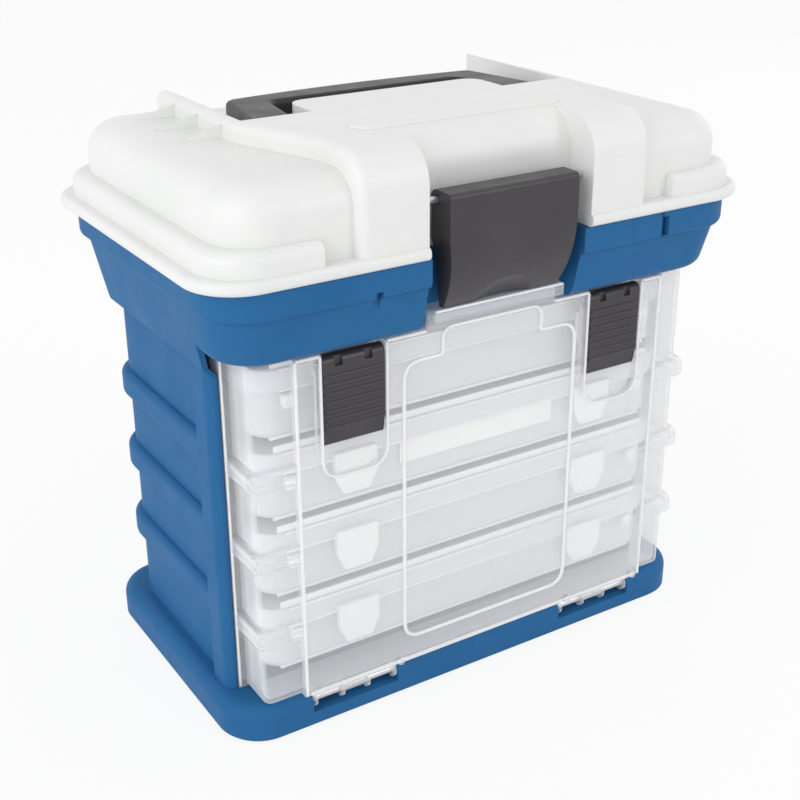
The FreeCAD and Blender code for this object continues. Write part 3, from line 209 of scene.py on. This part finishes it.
@dataclass(frozen=True)
class MouldedPlastic:
    """Opaque injection-moulded plastic with a fine spark grain."""

    name: str
    colour: tuple[float, float, float]
    tired: tuple[float, float, float]
    roughness: float = 0.42
    grain_scale: float = 2600.0
    grain_depth: float = 0.00003
    grain_strength: float = 0.35
    edge: float = 0.0004
    specular: float = 0.45

    def make(self) -> bpy.types.Material:
        """Builds the material.

        Returns:
            The finished material.
        """
        graph = ShaderGraph(self.name)
        cloud = graph.spread(graph.noise(22.0, 4.0), 0.0, 1.0, 0.35, 0.68)
        base = graph.mix(cloud, self.colour, self.tired)
        grain = graph.noise(self.grain_scale, 2.0)
        flow = graph.noise(9.0, 2.0)
        normal = graph.bump(flow, 0.25, 0.0002, graph.soft_edges(self.edge))
        normal = graph.bump(grain, self.grain_strength, self.grain_depth, normal)
        rough = graph.spread(graph.noise(60.0, 5.0), self.roughness - 0.05, self.roughness + 0.07)
        shader = graph.node("ShaderNodeBsdfPrincipled", Base_Color=base, Roughness=rough, Normal=normal)
        shader.inputs["Specular IOR Level"].default_value = self.specular
        return graph.finish(shader.outputs["BSDF"])


@dataclass(frozen=True)
class ClearPlastic:
    """Clear or milky plastic: partly see-through, whiter where it is seen edge-on."""

    name: str
    colour: tuple[float, float, float]
    body: float
    rim: float
    roughness: float = 0.12
    ripple: float = 0.00004
    edge: float = 0.0005
    shine: float = 0.16
    spread: float = 0.3
    passing: float = 0.8
    haze_range: float = 0.1
    milk_specular: float = 0.4
    facing_blend: float = 0.4
    clear_until: float = 0.22
    edge_on: float = 0.9
    refraction: float = 1.36

    def make(self) -> bpy.types.Material:
        """Builds the material.

        Returns:
            The finished material.
        """
        graph = ShaderGraph(self.name)
        flow = graph.noise(26.0, 3.0)
        haze = graph.noise(140.0, 5.0)
        normal = graph.bump(flow, 0.5, self.ripple, graph.soft_edges(self.edge))
        rough = graph.spread(haze, self.roughness, self.roughness + self.haze_range)
        milk = graph.node("ShaderNodeBsdfPrincipled", Roughness=rough, Normal=normal)
        milk.inputs["Base Color"].default_value = (*self.colour, 1.0)
        milk.inputs["Specular IOR Level"].default_value = self.milk_specular
        glow = graph.node("ShaderNodeBsdfTranslucent", Normal=normal)
        glow.inputs["Color"].default_value = (*self.colour, 1.0)
        solid = graph.node("ShaderNodeMixShader")
        solid.inputs[0].default_value = self.spread
        graph.link(milk.outputs["BSDF"], solid.inputs[1])
        graph.link(glow.outputs["BSDF"], solid.inputs[2])
        clear = graph.node("ShaderNodeBsdfTransparent")
        clear.inputs["Color"].default_value = (1.0, 1.0, 1.0, 1.0)
        weight = graph.node("ShaderNodeLayerWeight", Blend=self.facing_blend, Normal=normal)
        cover = graph.spread(weight.outputs["Facing"], self.body, self.rim, self.clear_until, self.edge_on)
        mixed = graph.node("ShaderNodeMixShader")
        graph.link(self.lit_through(graph, cover), mixed.inputs[0])
        graph.link(clear.outputs["BSDF"], mixed.inputs[1])
        graph.link(solid.outputs["Shader"], mixed.inputs[2])
        gloss = graph.node("ShaderNodeBsdfGlossy", Roughness=self.shine, Normal=normal)
        gloss.inputs["Color"].default_value = (1.0, 1.0, 1.0, 1.0)
        fresnel = graph.node("ShaderNodeFresnel", IOR=self.refraction, Normal=normal)
        outside = graph.node("ShaderNodeMath", operation="SUBTRACT")
        outside.inputs[0].default_value = 1.0
        graph.link(graph.node("ShaderNodeNewGeometry").outputs["Backfacing"], outside.inputs[1])
        skin = graph.node("ShaderNodeMath", operation="MULTIPLY")
        graph.link(fresnel.outputs["Fac"], skin.inputs[0])
        graph.link(outside.outputs["Value"], skin.inputs[1])
        top = graph.node("ShaderNodeMixShader")
        graph.link(skin.outputs["Value"], top.inputs[0])
        graph.link(mixed.outputs["Shader"], top.inputs[1])
        graph.link(gloss.outputs["BSDF"], top.inputs[2])
        return graph.finish(top.outputs["Shader"])

    def lit_through(self, graph: ShaderGraph, cover: bpy.types.NodeSocket) -> bpy.types.NodeSocket:
        """Lets light through more freely than sight, in place of the scattering inside the plastic.

        This is a stand-in and not physical: a shadow or bounced ray meets less of the plastic than the eye does.

        Args:
            graph: the graph to add to.
            cover: how much of the view the plastic hides.

        Returns:
            The factor's socket.
        """
        path = graph.node("ShaderNodeLightPath")
        light = graph.node("ShaderNodeMath", operation="MULTIPLY")
        bounce = graph.node("ShaderNodeMath", operation="MAXIMUM")
        graph.link(path.outputs["Is Shadow Ray"], bounce.inputs[0])
        graph.link(path.outputs["Is Diffuse Ray"], bounce.inputs[1])
        graph.link(bounce.outputs["Value"], light.inputs[0])
        light.inputs[1].default_value = self.passing
        open_share = graph.node("ShaderNodeMath", operation="SUBTRACT")
        open_share.inputs[0].default_value = 1.0
        graph.link(light.outputs["Value"], open_share.inputs[1])
        share = graph.node("ShaderNodeMath", operation="MULTIPLY")
        graph.link(cover, share.inputs[0])
        graph.link(open_share.outputs["Value"], share.inputs[1])
        return share.outputs["Value"]


@dataclass(frozen=True)
class DrawnSteel:
    """Plain drawn steel rod."""

    name: str = "drawn_steel_rod"
    colour: tuple[float, float, float] = (0.62, 0.62, 0.63)

    def make(self) -> bpy.types.Material:
        """Builds the material.

        Returns:
            The finished material.
        """
        graph = ShaderGraph(self.name)
        drawn = graph.node("ShaderNodeMapping", Vector=graph.place(), Scale=(60.0, 5000.0, 5000.0))
        streaks = graph.node("ShaderNodeTexNoise", Vector=drawn.outputs["Vector"], Scale=1.0, Detail=4.0)
        rough = graph.spread(streaks.outputs["Fac"], 0.22, 0.42)
        normal = graph.bump(streaks.outputs["Fac"], 0.3, 0.00002)
        shader = graph.node("ShaderNodeBsdfPrincipled", Metallic=1.0, Roughness=rough, Normal=normal)
        shader.inputs["Base Color"].default_value = (*self.colour, 1.0)
        return graph.finish(shader.outputs["BSDF"])


@dataclass
class Finishes:
    """All the finishes of the cabinet, made once."""

    blue: bpy.types.Material = field(init=False)
    white: bpy.types.Material = field(init=False)
    black: bpy.types.Material = field(init=False)
    graphite: bpy.types.Material = field(init=False)
    door_clear: bpy.types.Material = field(init=False)
    door_edge_highlight: bpy.types.Material = field(init=False)
    box_clear: bpy.types.Material = field(init=False)
    box_edge: bpy.types.Material = field(init=False)
    box_latch: bpy.types.Material = field(init=False)
    label: bpy.types.Material = field(init=False)
    steel: bpy.types.Material = field(init=False)

    def __post_init__(self) -> None:
        """Builds every material."""
        self.blue = MouldedPlastic("blue_moulded_plastic", (0.023, 0.132, 0.318), (0.028, 0.144, 0.338),
                                   roughness=0.50, specular=0.09).make()
        self.white = MouldedPlastic("white_moulded_plastic", (0.80, 0.81, 0.80), (0.83, 0.835, 0.825),
                                    roughness=0.40, grain_strength=0.3).make()
        self.black = MouldedPlastic("black_handle_plastic", (0.011, 0.011, 0.012), (0.016, 0.016, 0.017),
                                    roughness=0.38, grain_scale=1800.0, specular=0.36).make()
        self.graphite = MouldedPlastic("graphite_latch_plastic", (0.036, 0.032, 0.036), (0.047, 0.042, 0.047),
                                       roughness=0.36, grain_scale=1500.0, grain_depth=0.00006,
                                       grain_strength=0.6).make()
        self.door_clear = ClearPlastic("clear_door_plastic", (0.975, 0.983, 1.0), 0.22, 0.88, spread=0.1,
                                       passing=0.95).make()
        # Thick moulded edges of the door in a whiter, nearly opaque plastic. The whiteness is also a painted
        # highlight: it stands in for the bright lines that light draws along the door's ridges and corners.
        self.door_edge_highlight = ClearPlastic("thick_door_edge_highlights", (0.99, 0.99, 1.0), 0.82, 0.97, spread=0.1).make()
        self.box_clear = ClearPlastic("frosted_box_plastic", (0.915, 0.948, 1.0), 0.62, 0.93, roughness=0.25,
                                      shine=0.3, spread=0.1).make()
        self.box_edge = ClearPlastic("thick_box_edges", (0.99, 0.99, 1.0), 0.94, 0.98, roughness=0.25,
                                     spread=0.05).make()
        self.box_latch = ClearPlastic("milky_box_latch_plastic", (0.99, 0.99, 0.99), 0.96, 0.99,
                                      roughness=0.3, shine=0.3, spread=0.05).make()
        self.label = MouldedPlastic("white_label_card", (0.96, 0.96, 0.955), (0.94, 0.94, 0.935), roughness=0.6,
                                    grain_depth=0.00001).make()
        self.steel = DrawnSteel().make()


def paint(node: str, material: bpy.types.Material) -> None:
    """Gives a node of the frame its finish.

    Args:
        node: the node's name.
        material: the finish.
    """
    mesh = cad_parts[node].data
    mesh.materials.clear()
    mesh.materials.append(material)
    LOG.info("%s finished in %s", node, material.name)


# ---------------------------------------------------------------- studio
def seen_directly(tree: bpy.types.NodeTree) -> bpy.types.NodeSocket:
    """Gives 1 for what the camera sees, straight on, mirrored or through clear plastic, and 0 for light.

    Args:
        tree: the node tree to add to.

    Returns:
        The factor's socket.
    """
    path = tree.nodes.new("ShaderNodeLightPath")
    total = path.outputs["Is Camera Ray"]
    for kind in ("Is Glossy Ray", "Is Transmission Ray"):
        either = tree.nodes.new("ShaderNodeMath")
        either.operation = "MAXIMUM"
        tree.links.new(total, either.inputs[0])
        tree.links.new(path.outputs[kind], either.inputs[1])
        total = either.outputs["Value"]
    return total


@dataclass
class Studio:
    """Pale floor, soft lights and the camera."""

    eye: Vector = field(default_factory=lambda: Vector((-0.3057, -0.4890, 0.3674)))
    heading: float = math.radians(-32.1)
    pitch: float = math.radians(24.3)
    roll: float = math.radians(-0.3)
    lens: float = 59.9
    floor_size: float = 14.0
    floor_white: float = 0.86
    low_sky: float = 0.15
    high_sky: float = 0.9
    low_light: float = 0.81
    high_light: float = 0.70

    def build(self) -> None:
        """Makes the floor, the lights and the camera."""
        self.floor()
        self.sky()
        self.lamp("key_light", (-1.45, -0.45, 0.75), (0, 0, 0.12), 1.3, 8.5)
        self.lamp("front_light", (0.8, -1.35, 0.85), (0, 0, 0.18), 0.45, 3.0)
        self.lamp("top_light", (-0.1, -0.2, 1.7), (0, 0, 0.1), 1.2, 1.0)
        self.lamp("right_light", (1.5, 0.2, 0.7), (0, 0, 0.12), 1.2, 2.5)
        self.camera()

    def floor(self) -> None:
        """Makes the pale floor."""
        bm = bmesh.new()
        bmesh.ops.create_grid(bm, x_segments=1, y_segments=1, size=self.floor_size / 2)
        mesh = bpy.data.meshes.new("studio_floor")
        bm.to_mesh(mesh)
        bm.free()
        floor = bpy.data.objects.new("studio_floor", mesh)
        bpy.context.scene.collection.objects.link(floor)
        graph = ShaderGraph("pale_floor")
        shader = graph.node("ShaderNodeBsdfPrincipled", Roughness=0.7)
        tone = graph.spread(graph.noise(3.0), 0.90, 0.93)
        grey = graph.node("ShaderNodeCombineColor", Red=tone, Green=tone, Blue=tone)
        graph.link(grey.outputs["Color"], shader.inputs["Base Color"])
        lit = graph.node("ShaderNodeEmission", Strength=1.0)
        seen = graph.node("ShaderNodeMath", operation="MULTIPLY")
        graph.link(seen_directly(graph.tree), seen.inputs[0])
        seen.inputs[1].default_value = self.floor_white
        blend = graph.node("ShaderNodeMixShader")
        graph.link(seen.outputs["Value"], blend.inputs[0])
        graph.link(shader.outputs["BSDF"], blend.inputs[1])
        graph.link(lit.outputs["Emission"], blend.inputs[2])
        mesh.materials.append(graph.finish(blend.outputs["Shader"]))

    def sky(self) -> None:
        """Lights the studio softly, more from the sides than from above."""
        world = bpy.data.worlds.new("studio_air")
        world.use_nodes = True
        bpy.context.scene.world = world
        tree = world.node_tree
        tree.nodes.clear()
        output = tree.nodes.new("ShaderNodeOutputWorld")
        background = tree.nodes.new("ShaderNodeBackground")
        background.inputs["Color"].default_value = (1.0, 1.0, 1.0, 1.0)
        place = tree.nodes.new("ShaderNodeTexCoord")
        split = tree.nodes.new("ShaderNodeSeparateXYZ")
        ramp = tree.nodes.new("ShaderNodeMapRange")
        ramp.inputs["From Min"].default_value = self.low_sky
        ramp.inputs["From Max"].default_value = self.high_sky
        ramp.inputs["To Min"].default_value = self.low_light
        ramp.inputs["To Max"].default_value = self.high_light
        tree.links.new(place.outputs["Generated"], split.inputs["Vector"])
        tree.links.new(split.outputs["Z"], ramp.inputs["Value"])
        white = tree.nodes.new("ShaderNodeMix")
        white.data_type = "FLOAT"
        tree.links.new(seen_directly(tree), white.inputs[0])
        tree.links.new(ramp.outputs["Result"], white.inputs[2])
        white.inputs[3].default_value = 1.0
        tree.links.new(white.outputs[0], background.inputs["Strength"])
        tree.links.new(background.outputs["Background"], output.inputs["Surface"])

    def lamp(self, name: str, place: tuple[float, float, float], aim: tuple[float, float, float],
             size: float, power: float) -> None:
        """Adds a square soft light.

        Args:
            name: the light's name.
            place: where it stands, in metres.
            aim: the point it faces.
            size: side of the square, in metres.
            power: power in watts.
        """
        data = bpy.data.lights.new(name, "AREA")
        data.shape = "SQUARE"
        data.size = size
        data.energy = power
        lamp = bpy.data.objects.new(name, data)
        lamp.location = place
        lamp.rotation_euler = (Vector(aim) - Vector(place)).to_track_quat("-Z", "Y").to_euler()
        bpy.context.scene.collection.objects.link(lamp)

    def camera(self) -> None:
        """Adds the camera, square on to its heading and pitched down."""
        data = bpy.data.cameras.new("studio_camera")
        data.lens = self.lens
        data.sensor_width = 36.0
        data.clip_start = 0.01
        camera = bpy.data.objects.new("studio_camera", data)
        turn = Matrix.Rotation(self.heading, 4, "Z") @ Matrix.Rotation(math.pi / 2 - self.pitch, 4, "X")
        camera.matrix_world = Matrix.Translation(self.eye) @ turn @ Matrix.Rotation(self.roll, 4, "Z")
        bpy.context.scene.collection.objects.link(camera)
        bpy.context.scene.camera = camera


# ---------------------------------------------------------------- trim
def keep_mesh(bm: bmesh.types.BMesh, name: str, body: str,
              material: bpy.types.Material, smooth: bool = True) -> bpy.types.Object:
    """Turns a finished bmesh into a piece that rides on a body.

    Args:
        bm: the mesh, in metres in the frame; it is freed here.
        name: the piece's name.
        body: the body it rides on.
        material: its material.
        smooth: True to shade it smoothly.

    Returns:
        The new object.
    """
    bmesh.ops.remove_doubles(bm, verts=bm.verts[:], dist=0.00001)
    bmesh.ops.recalc_face_normals(bm, faces=bm.faces[:])
    mesh = bpy.data.meshes.new(name)
    for face in bm.faces:
        face.smooth = smooth
    bm.to_mesh(mesh)
    bm.free()
    mesh.materials.append(material)
    if smooth:
        mesh.set_sharp_from_angle(angle=math.radians(40))
    piece = bpy.data.objects.new(name, mesh)
    bpy.context.scene.collection.objects.link(piece)
    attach(piece, body)
    LOG.info("%s rides on %s", name, body)
    return piece


def add_block(bm: bmesh.types.BMesh, low: tuple[float, float, float], high: tuple[float, float, float],
              round_off: float = 0.0, segments: int = 3) -> None:
    """Adds a block with rounded edges to a bmesh.

    Args:
        bm: the mesh to add to.
        low: lowest corner in metres.
        high: highest corner in metres.
        round_off: radius of all its edges in metres.
        segments: facets across each rounding.
    """
    made = bmesh.ops.create_cube(bm, size=1.0)["verts"]
    size = [b - a for a, b in zip(low, high)]
    centre = [(a + b) / 2 for a, b in zip(low, high)]
    bmesh.ops.scale(bm, vec=size, verts=made)
    bmesh.ops.translate(bm, vec=centre, verts=made)
    if round_off > 0:
        edges = list({e for v in made for e in v.link_edges})
        bmesh.ops.bevel(bm, geom=edges, offset=round_off, segments=segments, profile=0.5,
                        affect="EDGES", material=-1)


def rounded_path(marks: list[tuple[float, float, float]], y: float, closed: bool, steps: int = 5) -> list[Vector]:
    """Gives the points of an outline that faces the front, with its corners rounded.

    Args:
        marks: (x, z, radius) of each corner, in millimetres.
        y: depth of the outline in millimetres.
        closed: True to join the last corner to the first.
        steps: pieces of each rounding.

    Returns:
        The points in metres.
    """
    points = []
    count = len(marks)
    for i, (x, z, radius) in enumerate(marks):
        here = Vector((x, z))
        if radius <= 0 or (not closed and i in (0, count - 1)):
            points.append(here)
            continue
        before = (Vector(marks[i - 1][:2]) - here).normalized()
        after = (Vector(marks[(i + 1) % count][:2]) - here).normalized()
        for step in range(steps + 1):
            t = step / steps
            start, end = here + before * radius, here + after * radius
            points.append(start.lerp(here, t).lerp(here.lerp(end, t), t))
    return [Vector((p.x * MM, y * MM, p.y * MM)) for p in points]


def add_bead(bm: bmesh.types.BMesh, path: list[Vector], radius: float, closed: bool = False, sides: int = 8) -> None:
    """Adds a round bead along a path to a bmesh.

    Args:
        bm: the mesh to add to.
        path: points in metres.
        radius: the bead's radius in metres.
        closed: True to join the last point to the first.
        sides: facets round the bead.
    """
    rings = []
    count = len(path)
    for i, point in enumerate(path):
        before = path[i - 1] if closed or i else point
        after = path[(i + 1) % count] if closed or i < count - 1 else point
        along = (after - before).normalized()
        across = along.cross(Vector((0, 1, 0)))
        if across.length < 0.1:
            across = along.cross(Vector((0, 0, 1)))
        across.normalize()
        out = across.cross(along)
        rings.append([bm.verts.new(point + (across * math.cos(a) + out * math.sin(a)) * radius)
                      for a in (math.tau * k / sides for k in range(sides))])
    spans = count if closed else count - 1
    for i in range(spans):
        low, high = rings[i], rings[(i + 1) % count]
        for k in range(sides):
            bm.faces.new((low[k], low[(k + 1) % sides], high[(k + 1) % sides], high[k]))
    if not closed:
        bm.faces.new(rings[0])
        bm.faces.new(rings[-1][::-1])


def straight(x0: float, x1: float, y: float, z0: float, z1: float) -> list[Vector]:
    """Gives the two ends of a straight bead, from millimetres."""
    return [Vector((x0 * MM, y * MM, z0 * MM)), Vector((x1 * MM, y * MM, z1 * MM))]


# ---------------------------------------------------------------- sub-assemblies
@dataclass
class Cabinet:
    """Plinth, ribbed housing and tub."""

    finishes: Finishes

    def dress(self) -> None:
        """Gives the fixed blue parts and the steel rods their finishes."""
        for node in ("base_plinth", "side_panel_left", "side_panel_right", "back_panel", "top_tub"):
            paint(node, self.finishes.blue)
        for node in ("door_hinge_pins", "lid_hinge_pins", "handle_pivot_pins", "main_latch_pin", "door_latch_pins"):
            paint(node, self.finishes.steel)


@dataclass
class Lid:
    """White lid with its handle and main latch."""

    finishes: Finishes

    def dress(self) -> None:
        """Gives the lid, the handle and the main latch their finishes."""
        paint("lid", self.finishes.white)
        paint("carry_handle", self.finishes.black)
        paint("main_latch", self.finishes.graphite)


@dataclass
class Door:
    """Clear door and its two latches."""

    finishes: Finishes
    front: float = -74.0
    foot: float = 17.6
    top: float = 173.6
    step_x: float = 92.6
    latch_x: float = 66.3
    latch_room: float = 14.7
    tab_half: float = 32.2
    tab_front: float = -79.2
    tab_rise: float = 9.1
    flange_x: float = 112.9
    flange_y: float = -51.0
    room_low: float = 119.6

    def dress(self) -> None:
        """Gives the door and its latches their finishes and adds the thick moulded edges, whose whiter plastic is
        also a painted highlight along the door's ridges.
        """
        paint("door", self.finishes.door_clear)
        paint("door_latch_left", self.finishes.graphite)
        paint("door_latch_right", self.finishes.graphite)
        self.panel_highlight_line()
        self.edge_highlight_lines()
        self.latch_room_highlights()

    def panel_highlight_line(self) -> None:
        """Adds the thick line round the middle panel, with its raised middle, in whiter plastic that is also a
        painted highlight along the panel's ridge.
        """
        x, arch = 43.7, 25.0
        low, high, peak = self.foot + 13.3, self.top - 11.7, self.top - 0.3
        marks = [(-x, low, 8), (x, low, 8), (x, high, 8), (arch, high, 1.5), (arch, peak, 5), (-arch, peak, 5),
                 (-arch, high, 1.5), (-x, high, 8)]
        bm = bmesh.new()
        add_bead(bm, rounded_path(marks, self.front - 0.5, True), 0.85 * MM, True)
        keep_mesh(bm, "door_panel_highlight_line", Body.DOOR.value, self.finishes.door_edge_highlight)

    def edge_highlight_lines(self) -> None:
        """Adds the thick edges of the door's steps, foot, top and tab, in whiter plastic that is also a painted
        highlight along these edges.
        """
        bm = bmesh.new()
        for side in Side:
            x = side.value * self.step_x
            add_bead(bm, straight(x - side.value * 0.4, x - side.value * 0.4, self.front + 0.4, self.foot + 1.5,
                                  self.top - 0.6), 0.75 * MM)
            flange = side.value * self.flange_x
            add_bead(bm, straight(flange, flange, self.flange_y, self.foot + 1.0, self.top - 2.0), 0.6 * MM)
            inner, outer = self.latch_x - self.latch_room - 0.6, self.latch_x + self.latch_room + 0.6
            for start, end in ((self.tab_half + 0.4, inner), (outer, self.step_x - 0.6)):
                add_bead(bm, straight(side.value * start, side.value * end, self.front + 0.5, self.top - 0.5,
                                      self.top - 0.5), 0.8 * MM)
        add_bead(bm, straight(-self.step_x + 2.5, self.step_x - 2.5, self.front + 0.9, self.foot + 1.3,
                              self.foot + 1.3), 1.0 * MM)
        tab, edge = self.tab_half - 0.6, self.top + self.tab_rise
        add_bead(bm, straight(-tab, tab, self.tab_front, edge, edge), 0.6 * MM)
        keep_mesh(bm, "door_edge_highlight_lines", Body.DOOR.value, self.finishes.door_edge_highlight)

    def latch_room_highlights(self) -> None:
        """Adds the thick line round the finger room of each latch, in whiter plastic that is also a painted
        highlight along its edge.
        """
        bm = bmesh.new()
        half, low, high = self.latch_room + 0.4, self.room_low, self.top - 0.8
        for side in Side:
            x = side.value * self.latch_x
            marks = [(x - half, high, 0), (x - half, low, 9), (x + half, low, 9), (x + half, high, 0)]
            add_bead(bm, rounded_path(marks, self.front + 0.1, False), 0.6 * MM)
        keep_mesh(bm, "door_latch_room_highlight_lines", Body.DOOR.value, self.finishes.door_edge_highlight)


@dataclass
class UtilityBox:
    """One pull-out box."""

    finishes: Finishes
    level: int
    front: float = -64.2
    half: float = 106.5
    labelled: int = 2
    count: int = 4
    lowest: float = 27.9
    pitch: float = 36.3
    height: float = 31.0
    rim_heights: tuple[float, float] = (21.4, 30.2)
    rim_end: float = 12.0
    lug_low: float = 13.5
    lug_high: float = 19.5
    stack_in: float = 9.0
    stack_rise: float = 2.6
    foot_drop: float = 1.4
    strip_deep: float = 1.4
    stack_back: float = 1.2
    foot_back: float = 4.4

    @property
    def floor(self) -> float:
        """Height of the box's underside in millimetres."""
        return self.lowest + (self.count - self.level) * self.pitch

    def dress(self) -> None:
        """Gives the box's nodes their finishes and adds its fine trim."""
        name = "box_%d" % self.level
        paint(name + "_tray", self.finishes.box_clear)
        paint(name + "_lid", self.finishes.box_clear)
        paint(name + "_dividers", self.finishes.box_clear)
        paint(name + "_latches", self.finishes.box_latch)
        paint(name + "_hinge_pin", self.finishes.steel)
        self.rim_lines(name)
        if self.level == self.labelled:
            self.label(name)

    def rim_lines(self, name: str) -> None:
        """Adds the thick edges of the rim, the stacking rim and foot, and the lugs at the front corners."""
        bm = bmesh.new()
        reach = self.half - self.rim_end
        for rise in self.rim_heights:
            z = self.floor + rise
            add_bead(bm, straight(-reach, reach, self.front + 0.2, z, z), 0.55 * MM)
        for side in Side:
            low, high = sorted((side.value * (reach - 6.5), side.value * (reach - 1.0)))
            add_block(bm, (low * MM, (self.front - 1.3) * MM, (self.floor + self.lug_low) * MM),
                      (high * MM, (self.front + 3.2) * MM, (self.floor + self.lug_high) * MM), 1.2 * MM)
        width = self.half - self.stack_in
        lid_top, sunk = self.floor + self.height, 0.4
        for back, low_z, high_z in ((self.stack_back, lid_top - sunk, lid_top + self.stack_rise),
                                    (self.foot_back, self.floor - self.foot_drop, self.floor + sunk)):
            add_block(bm, (-width * MM, (self.front + back) * MM, low_z * MM),
                      (width * MM, (self.front + back + self.strip_deep) * MM, high_z * MM), 0.4 * MM)
        keep_mesh(bm, name + "_rim_lines", name, self.finishes.box_edge)

    def label(self, name: str) -> None:
        """Adds a plain white card strip on the front of the tray."""
        bm = bmesh.new()
        face = self.front + 3.0
        add_block(bm, (-38 * MM, (face - 0.5) * MM, (self.floor + 9.5) * MM),
                  (43 * MM, (face - 0.08) * MM, (self.floor + 20.2) * MM), 0.12 * MM, 1)
        keep_mesh(bm, name + "_label_strip", name, self.finishes.label)


def main() -> None:
    """Dresses the cabinet and stages it."""
    logging.basicConfig(level=logging.INFO, format="%(name)s: %(message)s")
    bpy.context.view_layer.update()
    Studio().build()
    finishes = Finishes()
    Cabinet(finishes).dress()
    Lid(finishes).dress()
    Door(finishes).dress()
    for level in range(1, 5):
        UtilityBox(finishes, level).dress()
    bpy.context.scene.view_settings.view_transform = "Standard"


if __name__ == "__main__":
    main()
